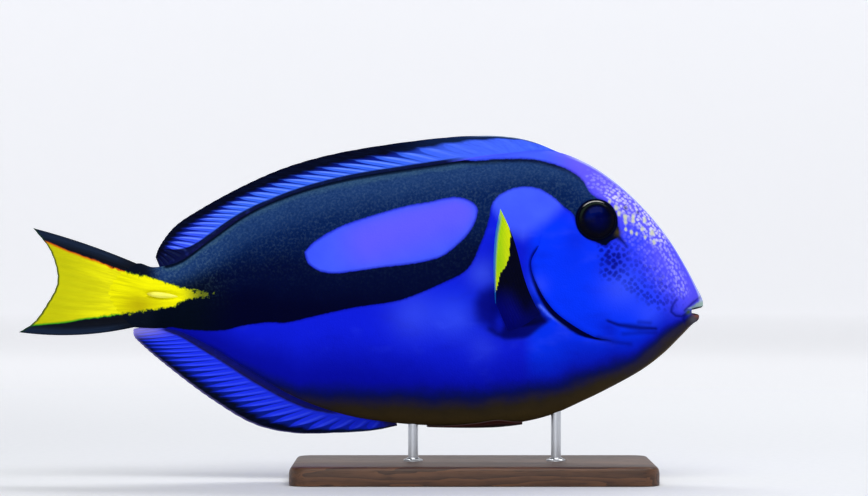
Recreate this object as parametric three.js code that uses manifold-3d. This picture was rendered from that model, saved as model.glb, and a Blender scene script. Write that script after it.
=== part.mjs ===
// A regal blue tang at life size, swimming, held over a flat base by two short rods.
//
// Millimetres. +X runs forward to the snout, +Z is up, and the fish's right side faces -Y. The origin
// lies on the surface that the base stands on, below the middle of the fish's length.

import * as THREE from "three";
import { mergeVertices } from "three/addons/utils/BufferGeometryUtils.js";
import Module from "manifold-3d";

const wasm = await Module();
wasm.setup();

// Gaps and fineness
const GAP = 0.3; // between pieces that touch
const POINTS_AROUND = 36; // points round a section of the body
const RING_STEP = 5; // most millimetres from one section ring to the next
const CUT_STEPS = 28; // straight pieces in the line that parts the head from the torso
const FAR = 200; // beyond every piece, for the shapes that part the body
const SLOPE_STEP = 0.01; // share of a curve to either side of a point, to find its direction there

// The body's sections, from the root of the tail fin forward to the lips and into the mouth. A row is the
// point on the back (x, z), the point on the belly (x, z), the half width, the power that makes the back
// a ridge (1 is a plain ellipse), and how far the flank is set back behind the two points.
const SECTIONS = [
  [-70.6, 69.4, -70.6, 48.7, 2.4, 1.0, 0],
  [-67.0, 68.2, -67.0, 48.5, 3.1, 1.0, 0],
  [-62.5, 68.8, -62.5, 48.4, 3.5, 1.0, 0],
  [-56.8, 71.0, -56.8, 46.9, 4.2, 1.05, 0],
  [-47.8, 77.6, -47.4, 42.1, 5.6, 1.15, 0],
  [-35.6, 86.0, -35.6, 34.9, 7.8, 1.25, 0],
  [-21.2, 92.2, -21.2, 26.5, 10.0, 1.25, 0],
  [-5.1, 96.6, -5.1, 20.8, 11.8, 1.25, 0],
  [12.5, 99.6, 11.9, 18.1, 13.0, 1.25, 0],
  [30.1, 102.2, 28.5, 17.3, 13.6, 1.25, 0],
  [46.2, 104.7, 44.6, 17.6, 13.8, 1.2, 0],
  [60.0, 105.6, 59.0, 20.2, 13.4, 1.15, 0],
  [71.8, 101.8, 71.8, 25.6, 12.6, 1.1, 0],
  [82.4, 94.7, 82.4, 30.9, 11.2, 1.05, 0],
  [91.4, 86.2, 90.4, 35.5, 9.4, 1.0, 0],
  [98.5, 77.4, 96.9, 40.5, 7.5, 1.0, 0],
  [103.6, 69.2, 102.0, 45.5, 5.9, 1.0, 0.3],
  [107.4, 62.1, 106.0, 49.6, 4.6, 1.0, 1.2],
  [109.7, 58.0, 108.3, 51.2, 3.9, 1.0, 3.2],
  [109.9, 55.7, 108.6, 52.7, 3.3, 1.0, 4.4],
  [108.1, 54.9, 107.1, 53.3, 2.6, 1.0, 2.6],
  [103.6, 53.9, 103.6, 53.7, 0.6, 1.0, 0],
];
const BELLY_POWER = 0.95; // a little fuller than an ellipse
const SETBACK_POWER = 1.5; // how quickly the flank falls back from the midline

// The gill opening, from its upper end down and forward below the cheek, seen from the side (x, z).
const GILL_LINE = [
  [57.2, 75.6],
  [54.6, 69.7],
  [56.4, 62.8],
  [61.4, 54.8],
  [67.5, 49.8],
  [74.9, 45.7],
  [80.8, 44.1],
];
const NAPE_CUT = [
  [65.7, 112.0],
  [63.8, 100.9],
  [60.0, 89.7],
];
const THROAT_CUT = [
  [83.7, 38.4],
  [86.9, 14.0],
];
const GILL_STEP = 0.8; // how far the shoulder lies below the gill cover's edge
const GILL_FADE = 4; // how far behind the edge the shoulder has risen most of the way
const TAIL_CUT = -52; // x of the cut between torso and tail stalk

// The eyes: flattened balls whose rim stands proud of the cheek
const EYE = { x: 75.4, z: 83.0, out: 8.2, radius: 6.6, depth: 5.2, forward: 0.14, up: 0.16 };
const ORBIT = { radius: 6.9, tube: 0.9, out: 2.1 };
const NOSTRILS = [
  { x: 84.8, z: 87.2, radius: 0.75 },
  { x: 88.7, z: 85.6, radius: 0.55 },
];
const NOSTRIL_DEPTH = 0.9;

// The folding spine on each side of the tail stalk, its point to the front
const SPINE = { x: -63.3, z: 59.2, length: 10.3, height: 1.9, thickness: 1.7, tilt: -0.09 };
const SPINE_SHAPE = { steps: 7, around: 10, lean: 0.75, fullness: 0.8 };

// The fins. An outline is seen from the side (x, z), a thickness is half of the sheet's, and thinBy is
// the share of a ray's length over which the sheet thins from root to edge. The rays of the fins on the
// back and the belly lie swept far back: crowd sets how much closer they stand towards the rear, and
// sweep is the power that carries their tips rearwards along the edge.
const ROOT_DEPTH = 1.8; // how deep a fin's root lies before the body's shape is cut out of it
const SHEATH = 0.1; // share of a ray's length that is smooth, in the sheath at the root
const RIDGE_FADE = 0.6; // share of its height that a ridge loses from the root to the free edge
const DORSAL = {
  rays: 29,
  steps: 5,
  front: 63.0,
  rear: -64.0,
  crowd: 0.4,
  sweep: 1.7,
  rootHalf: 0.95,
  edgeHalf: 0.27,
  thinBy: 0.62,
  ridge: 0.2,
  edge: [
    [63.5, 105.0],
    [54.8, 108.5],
    [46.2, 110.1],
    [33.0, 110.2],
    [11.9, 108.0],
    [-9.6, 104.3],
    [-24.0, 100.2],
    [-36.0, 95.1],
    [-50.8, 87.2],
    [-60.0, 81.0],
    [-64.9, 74.3],
    [-65.9, 71.4],
  ],
};
const ANAL = {
  rays: 21,
  steps: 5,
  front: 11.1,
  rear: -62.5,
  crowd: 0,
  sweep: 1.55,
  rootHalf: 0.95,
  edgeHalf: 0.27,
  thinBy: 0.62,
  ridge: 0.2,
  edge: [
    [11.6, 17.3],
    [4.0, 15.8],
    [-8.0, 15.0],
    [-22.1, 15.0],
    [-34.3, 17.8],
    [-47.8, 25.7],
    [-61.9, 36.2],
    [-70.0, 43.4],
    [-73.3, 47.2],
  ],
};
const CAUDAL = {
  rays: 16,
  steps: 7,
  rootTop: 69.2,
  rootBottom: 49.0,
  rootHalf: 1.8,
  edgeHalf: 0.27,
  fleshPower: 5,
  ridge: 0.2,
  bowTop: 0.9,
  bowBottom: -2.2,
  edge: [
    [-105.2, 80.7],
    [-99.6, 73.2],
    [-97.4, 63.5],
    [-100.9, 56.0],
    [-105.0, 50.4],
    [-109.7, 47.3],
  ],
};
// The pectoral fin's root on the flank (x, z) and its free edge (x, distance from the midline, z), both
// from the leading ray to the last one
const PECTORAL = {
  rays: 13,
  steps: 6,
  rootHalf: 0.8,
  edgeHalf: 0.25,
  thinBy: 0.5,
  ridge: 0.15,
  curl: 1.3,
  camber: 1.2,
  root: [
    [58.4, 52.4],
    [55.0, 49.6],
    [51.0, 47.8],
    [47.5, 46.6],
  ],
  edge: [
    [44.6, 32.5, 86.4],
    [43.3, 33.2, 79.8],
    [42.7, 33.0, 73.2],
    [42.6, 31.4, 67.5],
    [42.8, 27.8, 62.0],
    [43.0, 22.5, 57.3],
  ],
};
// The pelvic fins lie folded along the belly. Widths run from the root back to the tip.
const PELVIC = {
  rays: 4,
  steps: 8,
  front: 51.6,
  rear: 21.0,
  inner: 0.9,
  widths: [[2.0], [4.0], [3.2], [1.9], [0.5]],
  half: 0.28,
  ridge: 0.12,
};

// The display stand
const BASE = { x: 36, length: 116, width: 60, height: 6, corner: 6, bevel: 0.8 };
const ROD = { radius: 1.6, sides: 16, socket: 3.5, blank: 24 }; // the belly's shape is cut from the blank
const ROD_PLACES = { stand_rod_front: 62.5, stand_rod_back: 16.7 };

// Finishes
const FINISHES = {
  blue: { color: 0x1f38e6, roughness: 0.45, metalness: 0 },
  black: { color: 0x10182c, roughness: 0.5, metalness: 0 },
  yellow: { color: 0xe6dc14, roughness: 0.5, metalness: 0 },
  finBlue: { color: 0x3a5cf0, roughness: 0.5, metalness: 0 },
  eye: { color: 0x080a14, roughness: 0.08, metalness: 0 },
  bone: { color: 0xe8e08a, roughness: 0.35, metalness: 0 },
  wood: { color: 0x3b2415, roughness: 0.55, metalness: 0 },
  steel: { color: 0xb9bcc0, roughness: 0.3, metalness: 1 },
};

const SIDES = { right: -1, left: 1 };
const LEFTWARDS = new THREE.Vector3(0, 1, 0);

const mix = (a, b, share) => a + (b - a) * share;

// A smooth curve through rows of numbers, where t runs from 0 at the first row to 1 at the last.
function along(rows, t) {
  const last = rows.length - 1;
  const i = Math.min(Math.floor(t * last), last - 1);
  const f = t * last - i;
  const row = (n) => rows[THREE.MathUtils.clamp(n, 0, last)];
  return rows[0].map((_, k) => {
    const [a, b, c, d] = [i - 1, i, i + 1, i + 2].map((n) => row(n)[k]);
    return b + 0.5 * f * (c - a + f * (2 * a - 5 * b + 4 * c - d + f * (3 * (b - c) + d - a)));
  });
}

// A smooth curve through points (x, z) in the mid-plane, or (x, y, z) anywhere, by share of its length.
function curveThrough(points) {
  const places = points.map((p) => new THREE.Vector3(p[0], p.length > 2 ? p[1] : 0, p.at(-1)));
  const curve = new THREE.CatmullRomCurve3(places, false, "centripetal");
  return (share) => curve.getPointAt(share);
}

function indexed(positions, triangles) {
  const geometry = new THREE.BufferGeometry();
  geometry.setAttribute("position", new THREE.Float32BufferAttribute(positions, 3));
  geometry.setIndex(triangles);
  return geometry;
}

// A closed surface as a solid that can be joined and cut.
function solid(geometry) {
  const bare = geometry.clone();
  bare.deleteAttribute("normal");
  bare.deleteAttribute("uv");
  const merged = mergeVertices(bare);
  return new wasm.Manifold(
    new wasm.Mesh({
      numProp: 3,
      vertProperties: merged.attributes.position.array,
      triVerts: new Uint32Array(merged.index.array),
    }),
  );
}

// The largest closed surface of a solid, as a named mesh.
function mesh(name, body, finish) {
  const pieces = body.decompose().sort((a, b) => b.volume() - a.volume());
  const { vertProperties, triVerts } = pieces[0].getMesh();
  const made = new THREE.Mesh(
    indexed(vertProperties, Array.from(triVerts)),
    new THREE.MeshStandardMaterial(FINISHES[finish]),
  );
  made.name = name;
  return made;
}

// The same closed surface moved outwards by a distance along its normals.
function grown(geometry, distance) {
  const moved = geometry.clone();
  moved.computeVertexNormals();
  const { position, normal } = moved.attributes;
  for (let i = 0; i < position.count; i++) {
    const place = new THREE.Vector3().fromBufferAttribute(position, i);
    place.addScaledVector(new THREE.Vector3().fromBufferAttribute(normal, i), distance);
    position.setXYZ(i, place.x, place.y, place.z);
  }
  return moved;
}

// A closed surface over rings of points, with the first and the last ring closed by a fan.
function loft(rings) {
  const around = rings[0].length;
  const positions = rings.flat(2);
  const triangles = [];
  for (let r = 0; r < rings.length - 1; r++) {
    for (let k = 0; k < around; k++) {
      const [a, b] = [r * around + k, r * around + ((k + 1) % around)];
      triangles.push(a, b, a + around, b, b + around, a + around);
    }
  }
  const ends = [
    [rings[0], 0, false],
    [rings.at(-1), (rings.length - 1) * around, true],
  ];
  for (const [ring, first, forward] of ends) {
    const middle = positions.length / 3;
    positions.push(...[0, 1, 2].map((k) => ring.reduce((sum, p) => sum + p[k], 0) / around));
    for (let k = 0; k < around; k++) {
      const [a, b] = [first + k, first + ((k + 1) % around)];
      triangles.push(...(forward ? [a, b, middle] : [b, a, middle]));
    }
  }
  return indexed(positions, triangles);
}

// A point of the body: t runs from the tail to the mouth, and the angle starts at the left flank and
// turns over the back. The height goes by the sine, and the width by a power of the cosine.
function bodyPoint(t, angle) {
  const [backX, backZ, bellyX, bellyZ, half, ridge, setback] = along(SECTIONS, t);
  const side = Math.abs(Math.cos(angle));
  const share = (1 + Math.sin(angle)) / 2;
  const width = half * side ** (share > 0.5 ? ridge : BELLY_POWER);
  return [
    bellyX + (backX - bellyX) * share - setback * side ** SETBACK_POWER,
    width * Math.sign(Math.cos(angle)),
    bellyZ + (backZ - bellyZ) * share,
  ];
}

// The shares of the body's length at which it has a ring: each stretch between two sections in equal
// steps, none longer than the ring step.
function ringShares() {
  const last = SECTIONS.length - 1;
  const shares = [0];
  for (let i = 0; i < last; i++) {
    const [here, next] = [SECTIONS[i], SECTIONS[i + 1]];
    const span = Math.hypot((here[0] + here[2] - next[0] - next[2]) / 2, here[4] - next[4]);
    const steps = Math.ceil(span / RING_STEP);
    for (let k = 1; k <= steps; k++) shares.push((i + k / steps) / last);
  }
  return shares;
}

const cutLine = curveThrough([...NAPE_CUT, ...GILL_LINE, ...THROAT_CUT]);
const gillPoints = Array.from({ length: CUT_STEPS }, (_, k) => curveThrough(GILL_LINE)(k / (CUT_STEPS - 1)));

// How far the shoulder lies in, just behind the gill cover's edge.
function shoulderInset([x, , z]) {
  const distance = Math.min(...gillPoints.map((p) => Math.hypot(p.x - x, p.z - z)));
  return GILL_STEP * Math.exp(-((distance / GILL_FADE) ** 2));
}

function bodySurface(inset) {
  const rings = ringShares().map((t) =>
    Array.from({ length: POINTS_AROUND }, (_, k) => {
      const point = bodyPoint(t, (2 * Math.PI * k) / POINTS_AROUND);
      const depth = Math.min(inset(point), Math.abs(point[1]) / 2);
      return [point[0], point[1] - Math.sign(point[1]) * depth, point[2]];
    }),
  );
  return loft(rings);
}

// A solid with a side-view outline (x, z), as deep as the whole object.
function throughSides(outline) {
  const shape = new THREE.Shape(outline.map(([x, z]) => new THREE.Vector2(x, z)));
  const geometry = new THREE.ExtrudeGeometry(shape, { depth: FAR, bevelEnabled: false, steps: 1 });
  geometry.rotateX(Math.PI / 2);
  geometry.translate(0, FAR / 2, 0);
  return solid(geometry);
}

// The space in front of the cut that parts the head from the torso, moved back by a distance.
function headSpace(back) {
  const line = Array.from({ length: CUT_STEPS + 1 }, (_, k) => {
    const share = k / CUT_STEPS;
    const here = cutLine(share);
    const before = cutLine(Math.max(share - SLOPE_STEP, 0));
    const step = cutLine(Math.min(share + SLOPE_STEP, 1)).sub(before).normalize();
    return [here.x + step.z * back, here.z - step.x * back];
  });
  return throughSides([...line, [FAR, line.at(-1)[1]], [FAR, line[0][1]]]);
}

const skinSurface = bodySurface(() => 0);
const shoulderSurface = bodySurface(shoulderInset);
const grownSkin = solid(grown(skinSurface, GAP));
const grownShoulder = solid(grown(shoulderSurface, GAP));

// The place where a straight line meets the body's surface.
function meet(surface, from, direction) {
  const target = new THREE.Mesh(surface, new THREE.MeshStandardMaterial({ side: THREE.DoubleSide }));
  const ray = new THREE.Raycaster(new THREE.Vector3(...from), new THREE.Vector3(...direction));
  return ray.intersectObject(target)[0].point;
}

// The flank's distance from the mid-plane at a point seen from the side.
const flankAt = (x, z, surface = skinSurface) => meet(surface, [x, FAR, z], [0, -1, 0]).y;
const backAt = (x) => meet(skinSurface, [x, 0, FAR], [0, 0, -1]).z;
const bellyAt = (x, y = 0) => meet(skinSurface, [x, y, -FAR], [0, 0, 1]).z;

// A fin as a closed sheet over a grid. middle(s, r) is the sheet's middle, s from the first ray to the
// last and r from the root to the free edge, and half(s, r) is half of its thickness between the rays.
// Each ray is a ridge on both faces, and both faces are split into the same triangles.
function finSheet({ rays, steps, middle, half, ridge, across = null }) {
  const columns = 2 * rays - 1;
  const positions = [];
  const place = (s, r) => new THREE.Vector3(...middle(s, r));
  for (const face of [1, -1]) {
    for (let i = 0; i < columns; i++) {
      for (let j = 0; j <= steps; j++) {
        const [s, r] = [i / (columns - 1), j / steps];
        const out = across ?? acrossAt(place, s, r);
        const thick = half(s, r) + (i % 2 === 0 ? ridge * ridgeShare(r) : 0);
        positions.push(...place(s, r).addScaledVector(out, face * thick).toArray());
      }
    }
  }
  const at = (face, i, j) => (face > 0 ? 0 : columns * (steps + 1)) + i * (steps + 1) + j;
  const triangles = [];
  const quad = (a, b, c, d) => triangles.push(a, b, c, a, c, d);
  for (let i = 0; i < columns - 1; i++) {
    for (let j = 0; j < steps; j++) {
      quad(at(1, i, j), at(1, i, j + 1), at(1, i + 1, j + 1), at(1, i + 1, j));
      const back = [at(-1, i, j), at(-1, i, j + 1), at(-1, i + 1, j + 1), at(-1, i + 1, j)];
      triangles.push(back[0], back[2], back[1], back[0], back[3], back[2]);
    }
    quad(at(1, i, 0), at(1, i + 1, 0), at(-1, i + 1, 0), at(-1, i, 0));
    quad(at(1, i + 1, steps), at(1, i, steps), at(-1, i, steps), at(-1, i + 1, steps));
  }
  for (let j = 0; j < steps; j++) {
    quad(at(1, 0, j + 1), at(1, 0, j), at(-1, 0, j), at(-1, 0, j + 1));
    const i = columns - 1;
    quad(at(1, i, j), at(1, i, j + 1), at(-1, i, j + 1), at(-1, i, j));
  }
  return outwards(indexed(positions, triangles));
}

// The direction across a sheet, from its slopes along both of its ways.
function acrossAt(place, s, r) {
  const [before, after] = [-SLOPE_STEP, SLOPE_STEP];
  const on = (share, step) => THREE.MathUtils.clamp(share + step, 0, 1);
  const alongRoot = place(on(s, after), r).sub(place(on(s, before), r));
  const alongRay = place(s, on(r, after)).sub(place(s, on(r, before)));
  return alongRoot.cross(alongRay).normalize();
}

// A ridge is flush in the sheath at the root, full above it, and fades to the free edge.
function ridgeShare(r) {
  return r < SHEATH ? 0 : 1 - RIDGE_FADE * r;
}

// Turns a closed surface so that its faces point out.
function outwards(geometry) {
  const { position } = geometry.attributes;
  const corner = (n) => new THREE.Vector3().fromBufferAttribute(position, geometry.index.getX(n));
  let volume = 0;
  for (let n = 0; n < geometry.index.count; n += 3) {
    volume += corner(n).dot(corner(n + 1).cross(corner(n + 2)));
  }
  if (volume < 0) geometry.index.array.reverse();
  return geometry;
}

// The head in front of the gill opening, with the rims of the eye sockets raised, the sockets and the
// nostrils cut out, and the open mouth that the body's last sections form
function head() {
  let body = solid(skinSurface);
  for (const side of Object.values(SIDES)) body = body.add(solid(orbit(side)));
  body = body.intersect(headSpace(0));
  for (const side of Object.values(SIDES)) {
    body = body.subtract(solid(grown(eyeball(side), GAP)));
    for (const { x, z, radius } of NOSTRILS) {
      const pit = new THREE.SphereGeometry(radius, 10, 8);
      pit.scale(1, NOSTRIL_DEPTH / radius, 1);
      pit.translate(x, side * flankAt(x, z), z);
      body = body.subtract(solid(pit));
    }
  }
  return mesh("head", body, "blue");
}

// Turns a shape made round +Z to look out of an eye socket, at a distance from the eye's middle.
function toEye(geometry, side, distance) {
  const look = new THREE.Vector3(EYE.forward, side, EYE.up).normalize();
  const turn = new THREE.Quaternion().setFromUnitVectors(new THREE.Vector3(0, 0, 1), look);
  geometry.applyQuaternion(turn);
  geometry.translate(EYE.x, side * EYE.out, EYE.z);
  return geometry.translate(...look.multiplyScalar(distance).toArray());
}

function eyeball(side) {
  const ball = new THREE.SphereGeometry(EYE.radius, 20, 12);
  ball.rotateX(Math.PI / 2);
  ball.scale(1, 1, EYE.depth / EYE.radius);
  ball.deleteAttribute("normal");
  ball.deleteAttribute("uv");
  return toEye(mergeVertices(ball), side, 0);
}

function orbit(side) {
  return toEye(new THREE.TorusGeometry(ORBIT.radius, ORBIT.tube, 8, 24), side, ORBIT.out);
}

function torso() {
  const rear = throughSides([
    [TAIL_CUT + GAP, -FAR],
    [FAR, -FAR],
    [FAR, FAR],
    [TAIL_CUT + GAP, FAR],
  ]);
  return mesh("torso", solid(shoulderSurface).intersect(rear).subtract(headSpace(GAP)), "blue");
}

// The stalk of the tail, with a groove on each side that the folded spine lies in
function tailStalk() {
  const space = throughSides([
    [-FAR, -FAR],
    [TAIL_CUT, -FAR],
    [TAIL_CUT, FAR],
    [-FAR, FAR],
  ]);
  let body = solid(skinSurface).intersect(space);
  for (const side of Object.values(SIDES)) body = body.subtract(solid(grown(spindle(side), GAP)));
  return mesh("tail_stalk", body, "black");
}

// The folded spine: round at the hinge, behind, and drawn out to a point in front.
function spindle(side) {
  const { steps, around, lean, fullness } = SPINE_SHAPE;
  const profile = Array.from({ length: steps + 1 }, (_, k) => {
    const share = k / steps;
    const swell = Math.sin(Math.PI * share ** lean) ** fullness;
    return new THREE.Vector2((swell * SPINE.height) / 2, (share - 0.5) * SPINE.length);
  });
  profile[0].x = 0;
  profile[steps].x = 0;
  const shape = new THREE.LatheGeometry(profile, around);
  shape.rotateZ(-Math.PI / 2);
  shape.scale(1, SPINE.thickness / SPINE.height, 1);
  shape.rotateY(-SPINE.tilt);
  shape.translate(SPINE.x, side * flankAt(SPINE.x, SPINE.z), SPINE.z);
  shape.deleteAttribute("normal");
  shape.deleteAttribute("uv");
  return outwards(mergeVertices(shape));
}

// A fin in the mid-plane that grows from the back or the belly, its rays swept back to the free edge
function midlineFin(size, bodyLine, deeper) {
  const edge = curveThrough(size.edge);
  const middle = (s, r) => {
    const x = mix(size.front, size.rear, s * (1 + size.crowd * (1 - s)));
    const root = new THREE.Vector3(x, 0, bodyLine(x) + deeper);
    return root.lerp(edge(1 - (1 - s) ** size.sweep), r).toArray();
  };
  const half = (s, r) => mix(size.rootHalf, size.edgeHalf, Math.min(1, r / size.thinBy));
  return solid(finSheet({ ...size, middle, half, across: LEFTWARDS })).subtract(grownSkin);
}

function caudalFin() {
  const edge = curveThrough(CAUDAL.edge);
  const rootX = SECTIONS[0][0] - GAP;
  const middle = (s, r) => {
    const root = new THREE.Vector3(rootX, 0, mix(CAUDAL.rootTop, CAUDAL.rootBottom, s));
    const place = root.lerp(edge(s), r);
    place.z += mix(CAUDAL.bowTop, CAUDAL.bowBottom, s) * 4 * r * (1 - r);
    return place.toArray();
  };
  const half = (s, r) => {
    const flesh = CAUDAL.rootHalf * (1 - r) ** CAUDAL.fleshPower;
    return CAUDAL.edgeHalf + flesh * Math.sqrt(1 - (2 * s - 1) ** 4);
  };
  return mesh("caudal_fin", solid(finSheet({ ...CAUDAL, middle, half, across: LEFTWARDS })), "yellow");
}

function pectoralFin(name, side) {
  const root = curveThrough(PECTORAL.root);
  const edge = curveThrough(PECTORAL.edge);
  const middle = (s, r) => {
    const start = root(s);
    start.y = flankAt(start.x, start.z, shoulderSurface) - ROOT_DEPTH;
    const place = start.lerp(edge(s), r);
    place.x -= PECTORAL.curl * (1 - s) * Math.sin(2 * Math.PI * r);
    place.y += PECTORAL.camber * Math.sin(Math.PI * r);
    place.y *= side;
    return place.toArray();
  };
  const half = (s, r) => mix(PECTORAL.rootHalf, PECTORAL.edgeHalf, Math.min(1, r / PECTORAL.thinBy));
  const body = solid(finSheet({ ...PECTORAL, middle, half })).subtract(grownShoulder);
  return mesh(`pectoral_fin_${name}`, body, "black");
}

function pelvicFin(name, side) {
  const middle = (s, r) => {
    const x = mix(PELVIC.front, PELVIC.rear, r);
    const y = side * (PELVIC.inner + s * along(PELVIC.widths, r)[0]);
    return [x, y, bellyAt(x, y) - GAP - PELVIC.half - PELVIC.ridge];
  };
  const body = solid(finSheet({ ...PELVIC, middle, half: () => PELVIC.half })).subtract(grownSkin);
  return mesh(`pelvic_fin_${name}`, body, "finBlue");
}

// The flat base, with rounded corners, small chamfers and a blind socket for each rod
function standBase() {
  const { length, width, height, corner, bevel } = BASE;
  const [x, y] = [length / 2 - bevel, width / 2 - bevel];
  const shape = new THREE.Shape();
  shape.moveTo(corner - x, -y);
  shape.lineTo(x - corner, -y);
  shape.absarc(x - corner, corner - y, corner, -Math.PI / 2, 0);
  shape.absarc(x - corner, y - corner, corner, 0, Math.PI / 2);
  shape.absarc(corner - x, y - corner, corner, Math.PI / 2, Math.PI);
  shape.absarc(corner - x, corner - y, corner, Math.PI, 1.5 * Math.PI);
  const plate = new THREE.ExtrudeGeometry(shape, {
    depth: height - 2 * bevel,
    bevelThickness: bevel,
    bevelSize: bevel,
    bevelSegments: 1,
    curveSegments: 5,
  });
  plate.translate(BASE.x, 0, bevel);
  let body = solid(plate);
  for (const place of Object.values(ROD_PLACES)) {
    body = body.subtract(rodShape(place, height - ROD.socket - GAP, ROD.radius + GAP));
  }
  return mesh("stand_base", body, "wood");
}

function rodShape(x, bottom, radius) {
  const rod = new THREE.CylinderGeometry(radius, radius, ROD.blank, ROD.sides);
  rod.rotateX(Math.PI / 2);
  rod.translate(x, 0, bottom + ROD.blank / 2);
  return solid(rod);
}

// A rod from its socket up to the belly, its top shaped to the belly's underside
function standRod(name, x) {
  const body = rodShape(x, BASE.height - ROD.socket, ROD.radius).subtract(grownSkin);
  return mesh(name, body, "steel");
}

const group = new THREE.Group();
group.add(head(), torso(), tailStalk(), caudalFin());
group.add(mesh("dorsal_fin", midlineFin(DORSAL, backAt, -ROOT_DEPTH), "finBlue"));
group.add(mesh("anal_fin", midlineFin(ANAL, bellyAt, ROOT_DEPTH), "finBlue"));
for (const [name, side] of Object.entries(SIDES)) {
  group.add(pectoralFin(name, side), pelvicFin(name, side));
  group.add(mesh(`eye_${name}`, solid(eyeball(side)), "eye"));
  group.add(mesh(`tail_spine_${name}`, solid(spindle(side)), "bone"));
}
group.add(standBase());
for (const [name, x] of Object.entries(ROD_PLACES)) group.add(standRod(name, x));

export default group;
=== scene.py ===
# %% [markdown]
# # A regal blue tang, modelled at life size
# The fish swims with its pectoral fins raised, over a flat base that holds it up by two short rods. The
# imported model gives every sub-part its true size and place. This script dresses it: one continuous skin
# with the black marking, rayed fins, wet eyes, folded tail spines, and the stand's wood and steel.
# Lengths in this script are millimetres until a mesh is made, and then they become metres.

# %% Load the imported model
import math

import bpy
import numpy as np
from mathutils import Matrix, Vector


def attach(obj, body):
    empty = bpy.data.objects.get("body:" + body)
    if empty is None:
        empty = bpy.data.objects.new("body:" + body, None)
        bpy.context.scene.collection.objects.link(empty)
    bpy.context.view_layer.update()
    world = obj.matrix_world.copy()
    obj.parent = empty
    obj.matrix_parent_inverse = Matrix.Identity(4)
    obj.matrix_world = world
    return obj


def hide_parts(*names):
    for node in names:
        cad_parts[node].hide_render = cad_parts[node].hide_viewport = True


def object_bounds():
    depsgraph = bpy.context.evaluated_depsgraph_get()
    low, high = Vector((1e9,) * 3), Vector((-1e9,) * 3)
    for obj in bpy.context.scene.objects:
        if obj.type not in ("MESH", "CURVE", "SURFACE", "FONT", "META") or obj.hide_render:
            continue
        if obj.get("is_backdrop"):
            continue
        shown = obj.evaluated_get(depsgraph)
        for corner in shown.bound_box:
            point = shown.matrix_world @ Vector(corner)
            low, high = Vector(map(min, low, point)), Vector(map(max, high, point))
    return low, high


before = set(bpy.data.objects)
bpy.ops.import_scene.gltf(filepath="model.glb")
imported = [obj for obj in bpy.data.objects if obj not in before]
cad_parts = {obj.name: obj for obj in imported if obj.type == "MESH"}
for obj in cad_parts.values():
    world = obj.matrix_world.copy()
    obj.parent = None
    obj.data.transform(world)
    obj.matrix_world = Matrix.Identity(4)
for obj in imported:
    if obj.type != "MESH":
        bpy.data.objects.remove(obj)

CAD_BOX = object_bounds()
MM = 0.001
print("CAD box", CAD_BOX)

# %% [markdown]
# ## Camera
# The photograph looks straight at the fish's right side from its own height. The mid-plane of the fish is
# one metre away, where a pixel of the 868-pixel-wide image covers 0.3207 mm. The near flank looks about
# one percent larger than the mid-plane, and the markings further down allow for that.

# %% Camera
IMAGE_WIDTH = 868
PIXEL = 0.3207
DISTANCE = 1000.0
SENSOR = 36.0
VIEW_CENTRE = (23.4, 74.3)

lens = bpy.data.cameras.new("side_view")
lens.sensor_width = SENSOR
lens.lens = SENSOR * DISTANCE / (IMAGE_WIDTH * PIXEL)
lens.clip_start = 0.05
camera = bpy.data.objects.new("camera", lens)
camera.location = (VIEW_CENTRE[0] * MM, -DISTANCE * MM, VIEW_CENTRE[1] * MM)
camera.rotation_euler = (math.pi / 2, 0, 0)
bpy.context.scene.collection.objects.link(camera)
bpy.context.scene.camera = camera
print("lens", round(lens.lens, 1), "mm")

# %% [markdown]
# ## Curves and blends
# Almost every form here is a smooth curve through a few known points, or a soft step between two
# values. These few helpers work on whole arrays at once, so that no loop runs over single vertices.

# %% Curves and blends
def mix(low, high, share):
    """low where share is 0, high where it is 1, and in proportion between."""
    return low + (high - low) * share


def step(value, low, high):
    """0 below low, 1 above high, and the smooth cubic 3 t^2 - 2 t^3 between. low may be above high."""
    t = np.clip((value - low) / (high - low), 0, 1)
    return t * t * (3 - 2 * t)


def bell(distance, width):
    """1 at distance 0, falling as exp(-(distance / width)^2)."""
    return np.exp(-((distance / width) ** 2))


def along(rows, shares):
    """A smooth curve through rows of numbers that stand at equal steps of share, from 0 to 1: between
    two rows, the cubic whose slope at a row is half of the difference between that row's neighbours."""
    rows = np.array(rows, float)
    last = len(rows) - 1
    i = np.minimum((shares * last).astype(int), last - 1)
    f = (shares * last - i)[..., None]
    a, b, c, d = [rows[np.clip(i + k, 0, last)] for k in (-1, 0, 1, 2)]
    return b + 0.5 * f * (c - a + f * (2 * a - 5 * b + 4 * c - d + f * (3 * (b - c) + d - a)))


def curve_through(points, samples=400):
    """A smooth curve through points of any spacing, returned as a function of the share of its length.
    The cubics' tangents are weighted by the square roots of the distances between the points, so that
    the curve makes no loops, and a table of lengths turns shares into places."""
    known = np.array(points, float)
    known = np.vstack([2 * known[0] - known[1], known, 2 * known[-1] - known[-2]])
    t = np.linspace(0, len(points) - 1, samples)
    i = np.minimum(t.astype(int), len(points) - 2)
    f = (t - i)[:, None]
    a, b, c, d = [known[i + k] for k in range(4)]
    gap = lambda p, q: np.sqrt(np.linalg.norm(q - p, axis=1))[:, None]
    before, here, after = gap(a, b), gap(b, c), gap(c, d)
    chord = c - b
    leave = ((b - a) / before - (c - a) / (before + here)) * here + chord
    arrive = ((d - c) / after - (d - b) / (here + after)) * here + chord
    places = b + f * leave + f * f * (3 * chord - 2 * leave - arrive) + f**3 * (leave + arrive - 2 * chord)
    length = np.concatenate([[0], np.cumsum(np.linalg.norm(np.diff(places, axis=0), axis=1))])
    length /= length[-1]
    return lambda share: np.stack([np.interp(share, length, axis) for axis in places.T], -1)


print("half way up a soft step", step(0.5, 0, 1), "and a quarter of the way", step(0.25, 0, 1).round(3))

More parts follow.
